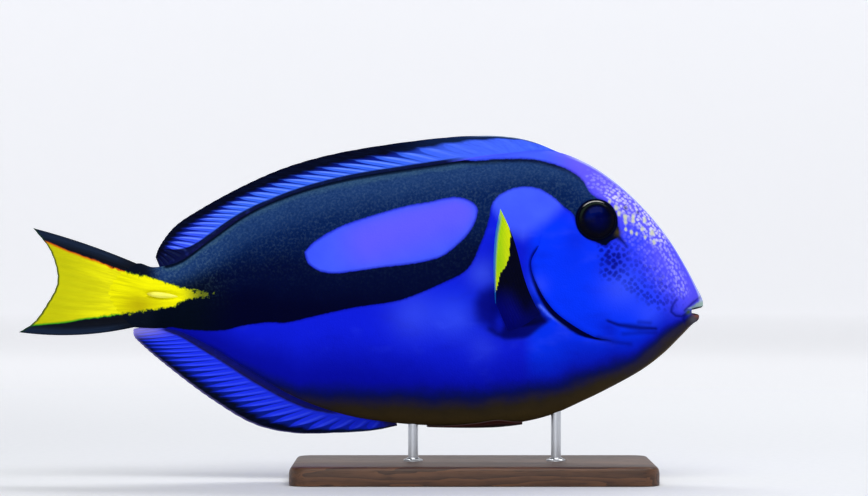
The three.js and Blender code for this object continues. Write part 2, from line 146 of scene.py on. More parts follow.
# %% [markdown]
# ## Distances to markings
# A marking's outline and a fold are drawn as lines seen from the side. Each vertex keeps its signed
# distance to them in millimetres. A distance changes evenly over a face, so the material can cut a
# crisp edge from it anywhere, also between two vertices. The lines were measured as the camera sees
# them, so each vertex is first moved to where it appears.

# %% Distances to markings
def line_distance(x, z, line):
    """Distance from points to a line of straight pieces, seen from the side: for each piece, the
    distance to its nearest point, and the smallest of all."""
    nearest = np.full(np.shape(x), np.inf)
    for (x0, z0), (x1, z1) in zip(line[:-1], line[1:]):
        dx, dz = x1 - x0, z1 - z0
        share = np.clip(((x - x0) * dx + (z - z0) * dz) / (dx * dx + dz * dz), 0, 1)
        nearest = np.minimum(nearest, np.hypot(x - x0 - share * dx, z - z0 - share * dz))
    return nearest


def depth_inside(x, z, outline):
    """Distance to a closed outline, positive inside and negative outside: a point is inside where a
    line straight up from it crosses the outline an odd number of times."""
    closed = [*outline, outline[0]]
    inside = np.zeros(np.shape(x), bool)
    for (x0, z0), (x1, z1) in zip(closed[:-1], closed[1:]):
        spans = (x0 <= x) != (x1 <= x)
        slope = (z1 - z0) / (x1 - x0) if x1 != x0 else 0.0
        inside ^= spans & (z < z0 + slope * (x - x0))
    return line_distance(x, z, closed) * np.where(inside, 1, -1)


def as_seen(places):
    """Where points appear on the mid-plane, seen from the camera's distance on their own side: all of
    it is larger, about the middle of the view, by the share 1 + |y| / distance."""
    larger = 1 + np.abs(places[..., 1]) / DISTANCE
    return [middle + (places[..., axis] - middle) * larger for middle, axis in zip(VIEW_CENTRE, (0, 2))]


def smooth_outline(points, count=160):
    """A closed outline rounded through its corner points."""
    curve = curve_through([*points, points[0]], samples=800)
    return curve(np.linspace(0, 1, count, endpoint=False))


SQUARE = [(0, 0), (10, 0), (10, 10), (0, 10)]
print("1 mm inside a square's edge, and 2 mm outside:", depth_inside(np.array([1, 12]), 5, SQUARE))

# %% [markdown]
# ## From a grid to a mesh
# A new piece is a grid of points: rows along the piece and columns round it or across it. One helper
# makes the faces between them, closes the ends, turns the faces outwards and stores the fields that
# the material reads. A fin is a folded sheet, so its ends are zipped, face to face, and a body's ends
# are closed by a fan to a middle point.

# %% From a grid to a mesh
def grid_faces(rows, columns, ring=False):
    """Corners of the four-sided faces between neighbouring points of a grid, whose columns join up round
    the piece, and whose rows may join up to a ring."""
    i = np.arange(rows if ring else rows - 1)[:, None]
    j = np.arange(columns)[None]
    here, there = i * columns, (i + 1) % rows * columns
    k = (j + 1) % columns
    return np.stack([here + j, here + k, there + k, there + j], -1).reshape(-1, 4)


def zipped_ends(rows, columns):
    """Faces that join the first half of an end row to its second half, read backwards."""
    k = np.arange(columns // 2 - 1)
    near = np.stack([k + 1, k, columns - 1 - k, columns - 2 - k], -1)
    return np.vstack([near, near[:, ::-1] + (rows - 1) * columns])


def fan_ends(rows, columns, poles):
    """Three-sided faces from each end row to its own middle point."""
    j = np.arange(columns)
    k = (j + 1) % columns
    near = np.stack([k, j, np.full(columns, poles)], -1)
    far = np.stack([j + (rows - 1) * columns, k + (rows - 1) * columns, np.full(columns, poles + 1)], -1)
    return np.vstack([near, far])


def outward(places, faces):
    """The faces, turned over if the volume inside the first group of them comes out negative: six times
    that volume is the sum of a.(b x c) + a.(c x d) over the corners a, b, c, d of its faces."""
    a, b, c, d = (places[faces[0][:, k]] for k in range(4))
    volume = np.einsum("ij,ij->", a, np.cross(b, c) + np.cross(c, d))
    return [group[:, ::-1] for group in faces] if volume < 0 else faces


print("faces of a tube of 4 rings with 6 points", len(grid_faces(4, 6)))

# %% Making a piece
def make_piece(name, grid, finish, replaces=(), ends="fan", fields=None, sharp=None):
    """A grid (rows, columns, 3) in millimetres as a smooth-shaded mesh that rides with the body. Edges
    that turn by more than sharp degrees stay sharp."""
    rows, columns = grid.shape[:2]
    places = grid.reshape(-1, 3)
    faces = [grid_faces(rows, columns, ring=ends == "ring")]
    fields = {key: np.broadcast_to(value, (rows, columns)).ravel() for key, value in (fields or {}).items()}
    if ends == "fan":
        faces.append(fan_ends(rows, columns, len(places)))
        places = np.vstack([places, grid[0].mean(0), grid[-1].mean(0)])
        for key, value in fields.items():
            table = value.reshape(rows, columns)
            fields[key] = np.concatenate([value, [table[0].mean(), table[-1].mean()]])
    elif ends == "zip":
        faces.append(zipped_ends(rows, columns))
    faces = outward(places, faces)
    mesh = bpy.data.meshes.new(name)
    mesh.vertices.add(len(places))
    mesh.vertices.foreach_set("co", (places * MM).astype(np.float32).ravel())
    corners = np.concatenate([group.ravel() for group in faces])
    sizes = np.concatenate([np.full(len(group), group.shape[1]) for group in faces])
    mesh.loops.add(len(corners))
    mesh.loops.foreach_set("vertex_index", corners.astype(np.int32))
    mesh.polygons.add(len(sizes))
    mesh.polygons.foreach_set("loop_start", (np.cumsum(sizes) - sizes).astype(np.int32))
    mesh.polygons.foreach_set("loop_total", sizes.astype(np.int32))
    mesh.polygons.foreach_set("use_smooth", np.ones(len(sizes), bool))
    for key, value in fields.items():
        mesh.attributes.new(key, "FLOAT", "POINT").data.foreach_set("value", value.astype(np.float32))
    mesh.update(calc_edges=True)
    if sharp:
        mesh.set_sharp_from_angle(angle=math.radians(sharp))
    mesh.materials.append(finish)
    piece = bpy.data.objects.new(name, mesh)
    bpy.context.scene.collection.objects.link(piece)
    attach(piece, "root")
    if replaces:
        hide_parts(*replaces)
    triangles = sum(len(group) * (group.shape[1] - 2) for group in faces)
    print(name, "triangles", triangles, "low", places.min(0).round(1), "high", places.max(0).round(1))
    return piece

# %% [markdown]
# ## Writing materials as sums
# A material is a small network of nodes. Here a socket is wrapped so that + - * / and ** add the Math
# nodes, and one method adds any other node. The network can then be read as a formula.

# %% Sockets that can be reckoned with
class Socket:
    """An output socket of a node. An expression on it adds Math nodes."""

    def __init__(self, finish, socket):
        self.finish = finish
        self.socket = socket

    def math(self, operation, *values):
        return self.finish.node("ShaderNodeMath", dict(enumerate(values)), operation=operation)["Value"]

    def __add__(self, other):
        return self.math("ADD", self, other)

    def __sub__(self, other):
        return self.math("SUBTRACT", self, other)

    def __rsub__(self, other):
        return self.math("SUBTRACT", other, self)

    def __mul__(self, other):
        return self.math("MULTIPLY", self, other)

    def __truediv__(self, other):
        return self.math("DIVIDE", self, other)

    def __pow__(self, other):
        return self.math("POWER", self, other)

    def __abs__(self):
        return self.math("ABSOLUTE", self)

    __radd__ = __add__
    __rmul__ = __mul__

    def least(self, other):
        return self.math("MINIMUM", self, other)

    def most(self, other):
        return self.math("MAXIMUM", self, other)

    def fraction(self):
        return self.math("FRACT", self)

    def step(self, low, high):
        """0 below low, 1 above high and smooth between. low may be above high."""
        if low > high:
            return 1 - self.step(high, low)
        sockets = {"Value": self, "From Min": low, "From Max": high}
        return self.finish.node("ShaderNodeMapRange", sockets, interpolation_type="SMOOTHSTEP")["Result"]


class Outputs:
    """The outputs of one node, each picked by its name."""

    def __init__(self, finish, node):
        self.finish = finish
        self.node = node

    def __getitem__(self, name):
        found = [s for s in self.node.outputs if name in (s.identifier, s.name) and s.enabled]
        return Socket(self.finish, found[0])

# %% Building a material
class Finish:
    """A material under construction, with one Principled shader."""

    def __init__(self, name, **surface):
        self.material = bpy.data.materials.new(name)
        self.material.use_nodes = True
        self.nodes = self.material.node_tree.nodes
        self.nodes.clear()
        names = {key.replace("_", " ").title().replace("Ior", "IOR"): value for key, value in surface.items()}
        self.shader = self.node("ShaderNodeBsdfPrincipled", names)
        self.node("ShaderNodeOutputMaterial", {"Surface": self.shader["BSDF"]})
        self.place = self.node("ShaderNodeTexCoord")["Object"]

    def node(self, kind, sockets=None, **settings):
        """Adds a node: first its settings, then the values or links of its sockets."""
        made = self.nodes.new(kind)
        for key, value in settings.items():
            setattr(made, key, value)
        for key, value in (sockets or {}).items():
            self.connect(made, key, value)
        return Outputs(self, made)

    def connect(self, node, key, value):
        if isinstance(key, int):
            target = node.inputs[key]
        else:
            target = [s for s in node.inputs if key in (s.identifier, s.name) and s.enabled][0]
        if isinstance(value, Socket):
            self.material.node_tree.links.new(value.socket, target)
        else:
            target.default_value = value

    def set(self, **surface):
        """Links sockets of the shader, by their names in small letters."""
        for key, value in surface.items():
            self.connect(self.shader.node, key.replace("_", " ").title(), value)

    def field(self, name):
        return self.node("ShaderNodeAttribute", attribute_name=name)["Fac"]

    def blend(self, low, high, share):
        """One colour over another, by a share."""
        sockets = {"A_Color": low, "B_Color": high, "Factor_Float": share}
        return self.node("ShaderNodeMix", sockets, data_type="RGBA")["Result_Color"]

    def layers(self, ground, *coats):
        """Coats of colour over a ground, each given with the share of it that shows."""
        for shade, share in coats:
            ground = self.blend(ground, shade, share)
        return ground

    def stretched(self, *scale):
        """The place on the piece in metres, with each axis multiplied."""
        sockets = {0: self.place, 1: scale}
        return self.node("ShaderNodeVectorMath", sockets, operation="MULTIPLY")["Vector"]

    def noise(self, size, detail=2.0, vector=None, roughness=0.5):
        """Soft noise from 0 to 1 whose lumps are about size millimetres."""
        sockets = {"Vector": vector or self.place, "Scale": 1 / (size * MM), "Detail": detail}
        return self.node("ShaderNodeTexNoise", {**sockets, "Roughness": roughness})["Fac"]

    def cells(self, size, vector=None, jitter=1.0, flat=False):
        """Scattered points about size millimetres apart: the distance to the nearest one, in sizes, and
        a random number for each. The points fill space, or a plane where flat."""
        sockets = {"Vector": vector or self.place, "Scale": 1 / (size * MM), "Randomness": jitter}
        found = self.node("ShaderNodeTexVoronoi", sockets, voronoi_dimensions="2D" if flat else "3D")
        chance = self.node("ShaderNodeSeparateColor", {"Color": found["Color"]})["Red"]
        return found["Distance"], chance

    def bump(self, height, depth, strength=1.0):
        """Shades a height from 0 to 1 as relief, depth in millimetres."""
        relief = self.node("ShaderNodeBump", {"Height": height, "Distance": depth * MM, "Strength": strength})
        self.set(normal=relief["Normal"])


def colour(red, green, blue):
    """A colour from its three screen values, 0 to 255, as the linear light values that shaders use."""
    share = np.array([red, green, blue]) / 255
    light = np.where(share > 0.04045, ((share + 0.055) / 1.055) ** 2.4, share / 12.92)
    return (*light.tolist(), 1.0)


print("a middle grey as light", round(colour(128, 128, 128)[0], 3))

# %% [markdown]
# ## The body's sections
# The body is a tube of upright sections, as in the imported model. Each row gives the point on the back,
# the point on the belly, the half width, the power that makes the back a ridge, and how far the flank
# is set back. Behind the tail stalk the skin goes on as a thin tongue over the roots of the tail's rays,
# so that the fin seems to grow out of the flesh.

# %% The body's sections
TAIL_TONGUE = [
    [-82.5, 60.0, -82.5, 58.4, 0.1, 1.0, 0],
    [-79.5, 64.5, -79.5, 54.3, 0.5, 1.0, 0],
    [-76.0, 67.8, -76.0, 50.4, 1.05, 1.0, 0],
    [-73.2, 69.0, -73.2, 49.0, 1.75, 1.0, 0],
]
SECTIONS = TAIL_TONGUE + [
    [-70.6, 69.4, -70.6, 48.7, 2.4, 1.0, 0],
    [-67.0, 68.2, -67.0, 48.5, 3.1, 1.0, 0],
    [-62.5, 68.8, -62.5, 48.4, 3.5, 1.0, 0],
    [-56.8, 71.0, -56.8, 46.9, 4.2, 1.05, 0],
    [-47.8, 77.6, -47.4, 42.1, 5.6, 1.15, 0],
    [-35.6, 86.0, -35.6, 34.9, 7.8, 1.25, 0],
    [-21.2, 92.2, -21.2, 26.5, 10.0, 1.25, 0],
    [-5.1, 96.6, -5.1, 20.8, 11.8, 1.25, 0],
    [12.5, 99.6, 11.9, 18.1, 13.0, 1.25, 0],
    [30.1, 102.2, 28.5, 17.3, 13.6, 1.25, 0],
    [46.2, 104.7, 44.6, 17.6, 13.8, 1.2, 0],
    [60.0, 105.6, 59.0, 20.2, 13.4, 1.15, 0],
    [71.8, 101.8, 71.8, 25.6, 12.6, 1.1, 0],
    [82.4, 94.7, 82.4, 30.9, 11.2, 1.05, 0],
    [91.4, 86.2, 90.4, 35.5, 9.4, 1.0, 0],
    [98.5, 77.4, 96.9, 40.5, 7.5, 1.0, 0],
    [103.6, 69.2, 102.0, 45.5, 5.9, 1.0, 0.3],
    [107.4, 62.1, 106.0, 49.6, 4.6, 1.0, 1.2],
    [109.4, 58.0, 108.1, 51.2, 3.9, 1.0, 3.2],
    [109.6, 55.7, 108.4, 52.7, 3.3, 1.0, 4.4],
    [108.1, 54.9, 107.1, 53.3, 2.6, 1.0, 2.6],
    [103.6, 53.9, 103.6, 53.7, 0.6, 1.0, 0],
]
LIPS_ROW = 23.2
BELLY_POWER = 0.95
SETBACK_POWER = 1.5


def body_places(share, angle):
    """Points of the body. The angle starts at the left flank and turns over the back: height goes by
    its sine, and width by a power of its cosine."""
    back_x, back_z, belly_x, belly_z, half, ridge, setback = np.moveaxis(along(SECTIONS, share), -1, 0)
    side = np.abs(np.cos(angle))
    height = (1 + np.sin(angle)) / 2
    width = half * side ** np.where(height > 0.5, ridge, BELLY_POWER)
    x = mix(belly_x, back_x, height) - setback * side**SETBACK_POWER
    return np.stack([x, width * np.sign(np.cos(angle)), mix(belly_z, back_z, height)], -1)


SHARES = np.linspace(0, 1, 4001)
ROWS = along(SECTIONS, SHARES)
MIDDLE_X = (ROWS[:, 0] + ROWS[:, 2]) / 2
RUN = np.concatenate([[0], np.cumsum(np.hypot(np.diff(MIDDLE_X), np.diff(ROWS[:, 4])))])
SNOUT = int(np.argmax(MIDDLE_X))
print("length along the middle of the body", RUN[-1].round(1), "mm")

# %% [markdown]
# ## Where the body is
# Fins, spines and rods are set on the body, so their makers ask where its surface is. Each answer comes
# from the same sections: first the section at that place, then its height, then its width.

# %% Where the body is
def section_at(x):
    """The sections whose middle is at x."""
    return np.moveaxis(along(SECTIONS, np.interp(x, MIDDLE_X[:SNOUT], SHARES[:SNOUT])), -1, 0)


def back_at(x):
    return np.interp(x, ROWS[:SNOUT, 0], ROWS[:SNOUT, 1])


def belly_at(x, y=0.0):
    """Height of the underside at x and at a distance y from the mid-plane."""
    _, back_z, _, belly_z, half, _, _ = section_at(x)
    side = np.clip(np.abs(y) / half, 0, 1) ** (1 / BELLY_POWER)
    return mix(belly_z, back_z, (1 - np.sqrt(1 - side**2)) / 2)


def flank_at(x, z):
    """The flank's distance from the mid-plane, at a point seen from the side. A section's middle stands
    a little behind or in front of its point at this height, so three rounds close in on the section."""
    middle = np.array(x, float)
    for _ in range(3):
        back_x, back_z, belly_x, belly_z, half, ridge, _ = section_at(middle)
        height = np.clip((z - belly_z) / (back_z - belly_z), 0, 1)
        middle = middle + x - mix(belly_x, back_x, height)
    side = np.sqrt(1 - (2 * height - 1) ** 2)
    return half * side ** np.where(height > 0.5, ridge, BELLY_POWER)


print("half width at the gill cover", flank_at(62.0, 62.0).round(1), "mm")

# %% [markdown]
# ## The grid of the skin
# A crisp edge needs grid lines that follow it. The rings of points therefore lean forward and back so
# that one pair of them lies exactly along the gill opening, and they stand closest there. On the head
# they are about 0.4 mm apart, on the plain rear flank 1 mm.

# %% The grid of the skin
GILL_LINE = [(57.2, 75.6), (54.6, 69.7), (56.4, 62.8), (61.4, 54.8), (67.5, 49.8), (74.9, 45.7), (80.8, 44.1)]
ABOVE_GILL = [(63.5, 114.0), (62.0, 101.0), (59.4, 88.0)]
BELOW_GILL = [(83.0, 36.0), (83.5, 12.0)]
COLUMNS = 280
RINGS = 350
GILL_RING = 60.0
GILL_SPLIT = 0.03
LEAN_FROM, LEAN_TO = 4.0, 104.0
SECTION_HALVES = (13, 40)
HEAD_GAP, REAR_GAP = 0.34, 1.0
EDGE_GAP, EDGE_GROWTH = 0.1, 0.13


def even_angles(count):
    """Angles that put points at even distances round a typical section, and closer together at the
    height of the mouth, the cheek's creases and the pectoral fin's foot. The right flank mirrors the
    left one. The second answer is the number of points from one flank over the back to the other."""
    angle = np.linspace(0, 2 * np.pi, 2001)
    outline = np.stack([np.cos(angle), np.sin(angle)], -1) * SECTION_HALVES
    level = (1 + np.sin(angle[1:])) / 2
    closer = 1 + 0.9 * step(level, 0.14, 0.22) * step(level, 0.54, 0.45)
    length = np.concatenate([[0], np.cumsum(np.linalg.norm(np.diff(outline, axis=0), axis=1) * closer)])
    over_back = np.interp(np.pi, angle, length)
    upper = 2 * round(count * over_back / length[-1] / 2)
    marks = np.concatenate([np.linspace(0, over_back, upper, endpoint=False),
                            np.linspace(over_back, length[-1], count - upper, endpoint=False)])
    return np.interp(marks, length, angle), upper


def ring_runs():
    """Lengths along the body at which a ring stands, closest at the gill opening, with the two rings of
    its edge almost together."""
    gill = np.interp(GILL_RING, MIDDLE_X[:SNOUT], RUN[:SNOUT])
    spacing = mix(REAR_GAP, HEAD_GAP, step(MIDDLE_X, 32, 50))
    spacing = np.minimum(spacing, EDGE_GAP + EDGE_GROWTH * np.abs(RUN - gill))
    count = np.cumsum(np.gradient(RUN) / spacing)
    at_gill = np.interp(gill, RUN, count)
    behind = int(RINGS * at_gill / count[-1])
    rear = np.interp(np.linspace(0, at_gill, behind), count, RUN)
    front = np.interp(np.linspace(at_gill, count[-1], RINGS - behind), count, RUN)
    rear[-1] = gill - GILL_SPLIT
    front[0] = gill + GILL_SPLIT
    return np.concatenate([rear, front]), gill, behind


def leaning_shares(angles):
    """Shares of the body's length for each ring and column, leaned to follow the gill opening: the
    rings' shift is whole at the opening and fades by a half cosine wave to both sides."""
    runs, gill, behind = ring_runs()
    follow = curve_through([*ABOVE_GILL, *GILL_LINE, *BELOW_GILL])(np.linspace(0, 1, 300))[::-1]
    places = body_places(SHARES[::10, None], angles[None])
    seen_x, seen_z = as_seen(places)
    ahead = seen_x - np.interp(seen_z, follow[:, 1], follow[:, 0])
    last = (ahead < 0).sum(0) - 1
    column = np.arange(len(angles))
    part = -ahead[last, column] / (ahead[last + 1, column] - ahead[last, column])
    meets = mix(RUN[::10][last], RUN[::10][last + 1], part)
    middle = np.interp(runs, RUN, MIDDLE_X)
    near = np.where(runs < gill, (middle - LEAN_FROM) / (GILL_RING - LEAN_FROM),
                    (LEAN_TO - middle) / (LEAN_TO - GILL_RING))
    near[runs > RUN[SNOUT]] = 0
    lean = 0.5 - 0.5 * np.cos(np.pi * np.clip(near, 0, 1))
    leaned = runs[:, None] + (meets - gill)[None] * lean[:, None]
    return np.interp(leaned, RUN, SHARES), behind


angles, upper_columns = even_angles(COLUMNS)
shares, behind = leaning_shares(angles)
skin = body_places(shares, angles[None])
height = np.broadcast_to((1 + np.sin(angles)[None]) / 2, shares.shape)
y, (x, z) = skin[..., 1], as_seen(skin)
print("skin grid", skin.shape, "gill ring", behind, "at x", x[behind].min().round(1), "and up")

# %% Lengths over the forehead
def forehead_lengths(places):
    """Lengths over the skin, for spots that keep their size on its slopes: along the forehead, which
    falls at 45 degrees, and across it from the middle line, right side positive, left side negative."""
    along_it = (places[..., 0] - places[..., 2]) / math.sqrt(2)
    depth = (places[..., 0] + places[..., 2]) / math.sqrt(2)
    walk = np.cumsum(np.hypot(np.diff(depth, axis=1), np.diff(places[..., 1], axis=1)), axis=1)
    top, bottom = upper_columns // 2, (COLUMNS + upper_columns) // 2
    right = np.zeros(depth.shape)
    right[:, top:bottom + 1] = walk[:, top - 1:bottom] - walk[:, top - 1:top]
    other_side = (upper_columns - np.arange(COLUMNS)) % COLUMNS
    on_right = (np.arange(COLUMNS) >= top) & (np.arange(COLUMNS) <= bottom)
    return along_it, np.where(on_right, right, -right[:, other_side])


forehead_along, forehead_across = forehead_lengths(skin)
print("across the skin from the middle line, up to", forehead_across.max().round(1), "mm")

# %% [markdown]
# ## Relief of the skin
# The skin's folds are shallow: the gill cover's free edge with the slit behind it, creases on the cheek
# and at the corner of the mouth, the groove in front of the eye, nostrils, the fleshy foot of the
# pectoral fin, and the slot of the tail spine. Each is a rise or a dip, in millimetres along the
# surface's own direction outwards, worked out from the distance to its line.

# %% Lines of the folds
CHEEK_CREASE = [(79.1, 50.9), (82.4, 49.6), (85.9, 49.1), (89.5, 48.6), (94.6, 48.4)]
FAINT_CREASES = [
    [(84.1, 46.6), (89.0, 47.0), (94.5, 47.1)],
    [(89.1, 50.4), (92.7, 50.1)],
    [(76.0, 45.6), (80.8, 44.1), (86.3, 43.4)],
]
MOUTH_FOLDS = [
    [(101.0, 57.5), (99.7, 55.3), (99.5, 53.8), (101.0, 52.5), (102.8, 52.3), (104.9, 53.5)],
    [(104.9, 53.5), (103.4, 51.6), (103.9, 50.0)],
    [(108.8, 58.3), (106.4, 56.6), (103.9, 54.2)],
]
LIP_ROLL = [(101.9, 57.3), (100.8, 55.2), (100.9, 54.0), (102.6, 53.4)]
EYE_GROOVE = [(81.2, 79.4), (83.3, 77.2), (85.2, 74.9)]
FIN_FOOT = [(58.6, 51.2), (55.0, 49.0), (51.0, 47.5), (47.5, 46.6)]
BEHIND_FOOT = [(41.5, 48.3), (43.5, 46.8), (46.0, 46.2), (49.0, 46.5)]
BELOW_FOOT = [(49.0, 46.5), (54.7, 48.4), (60.2, 51.4)]
AXIL = [(44.5, 52.5), (46.0, 56.0), (49.5, 57.0)]
NOSTRILS = [(84.8, 87.2, 0.75), (88.7, 85.6, 0.55)]
TAIL_RAYS = 16
CAUDAL_ROOT = {"x": -67.5, "run": 33.5, "top": 67.4, "bottom": 50.2, "tip_top": 80.7, "tip_bottom": 47.3}
SPINE = {"x": -63.3, "z": 59.2, "length": 10.3, "height": 1.9, "thickness": 1.7, "tilt": -0.09}


def outward_directions(places):
    """Unit vectors across a closed grid: across both of its ways, pointing away from the mid-plane."""
    ways = np.cross(np.roll(places, -1, 1) - np.roll(places, 1, 1), np.gradient(places, axis=0))
    ways /= np.linalg.norm(ways, axis=-1, keepdims=True) + 1e-12
    return ways * np.sign((ways[..., 1] * places[..., 1]).sum())


def beside(line, width):
    """1 on a line, seen from the side, and falling to 0 beside it."""
    return bell(line_distance(x, z, line), width)

# %% Gill opening
GILL_STEP, GILL_FADE, SLIT_DEPTH = 0.8, 4.0, 0.55

gill_distance = line_distance(x, z, curve_through(GILL_LINE)(np.linspace(0, 1, 60)))
shoulder = (np.arange(len(x)) < behind)[:, None]
gill_open = step(z, 43.9, 46.5) * step(z, 76.0, 72.0)
slit_width = mix(0.45, 1.6, step(z, 72.0, 48.0)) * mix(0.3, 1.0, step(x, 80.5, 75.5)) * gill_open
hollow = GILL_STEP * bell(gill_distance, GILL_FADE) * mix(0.35 * step(z, 44, 60), 1, gill_open)
hollow += SLIT_DEPTH * bell(gill_distance, 0.3 + 0.7 * slit_width) * gill_open
free_edge = (0.14 * bell(gill_distance - 1.3, 1.0) - 0.3 * bell(gill_distance, 0.22)) * gill_open
rise = np.where(shoulder, -hollow, free_edge)
print("gill slit up to", slit_width.max().round(2), "mm wide")

# %% Creases, nostrils and slots
CREASE_DEPTH, FOOT_CREASE_DEPTH, LIP_HEIGHT, FOOT_HEIGHT = 0.26, 0.22, 0.16, 0.75
AXIL_DEPTH, SLOT_DEPTH = 0.55, 0.75

crease = beside(CHEEK_CREASE, mix(0.45, 0.95, bell(x - 87.5, 4.5)))
crease = crease + sum(beside(line, 0.7) for line in FAINT_CREASES) * 0.5
crease += sum(beside(line, 0.42) for line in MOUTH_FOLDS) * 0.85
foot_crease = beside(BEHIND_FOOT, 0.95) + 0.5 * beside(BELOW_FOOT, 0.7)
foot = line_distance(x, z, curve_through(FIN_FOOT)(np.linspace(0, 1, 30)))
rise -= CREASE_DEPTH * (np.clip(crease, 0, 1) + beside(EYE_GROOVE, 0.75)) + FOOT_CREASE_DEPTH * foot_crease
rise += LIP_HEIGHT * beside(LIP_ROLL, 0.7) + FOOT_HEIGHT * bell(foot, 2.3)
rise -= AXIL_DEPTH * beside(AXIL, 2.6)
for nostril_x, nostril_z, radius in NOSTRILS:
    distance = np.hypot(x - nostril_x, z - nostril_z)
    rise += 0.18 * bell(distance - radius - 0.35, 0.3) - 0.6 * bell(distance, radius * 0.8)
from_spine = skin - [SPINE["x"], 0, SPINE["z"]]
slot_x = from_spine[..., 0] / (SPINE["length"] / 2 + 0.9)
slot_z = (from_spine[..., 2] - SPINE["tilt"] * from_spine[..., 0]) / (SPINE["height"] / 2 + 0.55)
rise -= SLOT_DEPTH * step(np.hypot(slot_x, slot_z), 1.2, 0.7)
rise *= step(np.abs(y), 0.2, 1.2)
skin = skin + outward_directions(skin) * rise[..., None]
print("relief from", rise.min().round(2), "to", rise.max().round(2), "mm")

# %% [markdown]
# ## Sockets for the eyes
# Round each eye the skin runs level to the rim, whatever the slope of the head there, and drops inside
# the rim to behind the middle of the eyeball. Places are measured from the middle of the eye: how far
# along the line in which the eye looks, and how far from that line.

# %% Sockets for the eyes
EYE = {"x": 74.7, "z": 82.85, "out": 8.2, "radius": 6.6, "depth": 5.2, "forward": 0.14, "up": 0.16}
RIM_RADIUS, RIM_HEIGHT, RIM_THICK = 6.05, 2.2, 0.34
LEVEL_WITHIN, LEVEL_BEYOND = 7.0, 11.5
SKIN_BELOW_RIM, SOCKET_FLOOR, SOCKET_WALL = 0.1, -1.5, 0.7
SIDES = {"right": -1, "left": 1}


def eye_frame(side):
    """The eye's middle, and three unit vectors: the way it looks, forward in its plane, and up in it."""
    look = np.array([EYE["forward"], side, EYE["up"]])
    look /= np.linalg.norm(look)
    ahead = np.array([1.0, 0, 0]) - look[0] * look
    ahead /= np.linalg.norm(ahead)
    up = np.cross(look, ahead) * -side
    return np.array([EYE["x"], side * EYE["out"], EYE["z"]]), look, ahead, up


eye_distance = np.full(x.shape, np.inf)
for side in SIDES.values():
    middle, look, ahead, up = eye_frame(side)
    away = (skin - middle) @ look
    distance = np.linalg.norm(skin - middle - away[..., None] * look, axis=-1)
    near = (y * side > 0) & (distance < LEVEL_BEYOND)
    level = np.where(near, step(distance, LEVEL_BEYOND, LEVEL_WITHIN), 0)
    sunk = np.where(near, step(distance, RIM_RADIUS, RIM_RADIUS - SOCKET_WALL), 0)
    wanted = mix(away, RIM_HEIGHT - SKIN_BELOW_RIM, level)
    wanted = mix(wanted, np.minimum(away, SOCKET_FLOOR), sunk)
    skin = skin + (wanted - away)[..., None] * look
    eye_distance = np.where(y * side > 0, distance, eye_distance)
print("skin box", skin.min((0, 1)).round(1), skin.max((0, 1)).round(1))

# %% [markdown]
# ## The markings
# The fish is blue with a black marking like a painter's palette: it runs from the eye along the back and
# the middle of the flank to the tail, and leaves a blue oval free behind the pectoral fin. A yellow wedge
# starts on the tail stalk and widens over the tail fin. The outlines are drawn from the side and kept on
# the skin as signed distances, in a table of fields that the cells below add to.

# %% The markings
PALETTE = [
    (-85.3, 84.9), (25.3, 104.2), (35.0, 102.4), (44.6, 102.9), (54.8, 102.8), (60.5, 101.6), (66.8, 99.3),
    (70.8, 96.3), (74.0, 91.5), (79.9, 87.8), (82.4, 82.0), (82.4, 77.5), (80.1, 76.7), (78.5, 74.9),
    (75.2, 76.3), (71.9, 78.0), (69.4, 81.2), (68.0, 85.2), (65.6, 87.0), (62.2, 90.2), (57.6, 93.1),
    (53.0, 94.0), (48.4, 93.3), (44.4, 91.3), (42.2, 88.8), (41.3, 84.5), (40.4, 81.1), (38.2, 75.3),
    (35.3, 69.0), (32.4, 66.1), (27.9, 63.8), (17.6, 59.3), (11.5, 57.3), (-3.5, 54.9), (-16.0, 52.1),
    (-24.1, 50.3), (-29.5, 50.4), (-37.5, 49.4), (-44.3, 47.8), (-55.8, 48.0), (-62.5, 48.6), (-67.7, 43.2),
    (-85.3, 43.2),
]
OVAL = [
    (-18.1, 73.0), (-15.2, 76.1), (-6.7, 81.1), (5.7, 85.3), (14.8, 87.8), (22.1, 89.1), (30.1, 90.6),
    (34.6, 89.6), (37.2, 87.3), (37.0, 83.9), (34.6, 79.3), (30.8, 75.3), (25.7, 71.6), (17.6, 69.5),
    (6.1, 68.1), (0.6, 67.3), (-9.0, 66.2), (-13.6, 67.1), (-17.0, 69.5),
]
WEDGE = [
    (-109.4, 78.2), (-101.3, 76.6), (-93.2, 73.2), (-85.6, 70.5), (-78.8, 68.0), (-73.4, 66.2),
    (-69.0, 65.5), (-64.9, 64.2), (-59.5, 62.4), (-54.1, 60.8), (-47.1, 59.7), (-52.3, 58.1),
    (-56.8, 57.2), (-59.9, 55.2), (-65.7, 54.6), (-72.1, 53.4), (-80.2, 52.5), (-87.8, 51.5),
    (-95.5, 50.2), (-105.8, 49.3), (-112.6, 49.0),
]

y, (x, z) = skin[..., 1], as_seen(skin)
under_back = back_at(x) - z + 16 * step(x, -62, -72)
palette = depth_inside(x, z, smooth_outline(PALETTE, 260))
skin_fields = {
    "black": np.minimum(palette, -depth_inside(x, z, smooth_outline(OVAL))),
    # Painted shade in the groove at the dorsal fin's foot.
    "fin_base_shade": step(under_back, 1.5, 0.8) * step(x, 52, 44),
    "stalk": step(x, -38, -56),
    "tail_ink": step(x, -63.5, -69.5),
    "yellow": depth_inside(x, z, WEDGE),
    "yellow_point": step(x, -58.5, -50.0),
    "yellow_dusk": bell(np.hypot(x + 71.0, (z - 56.0) * 1.6), 6.0),
    "height": height,
    "under_back": under_back,
    "eye_distance": eye_distance,
    "eye_shadow": step(eye_distance, 11.5, 7.5) * step(z, 86.0, 79.0),
}
for name in ("black", "yellow"):
    print(name, "covers", round(float((skin_fields[name] > 0).mean()), 2), "of the points")
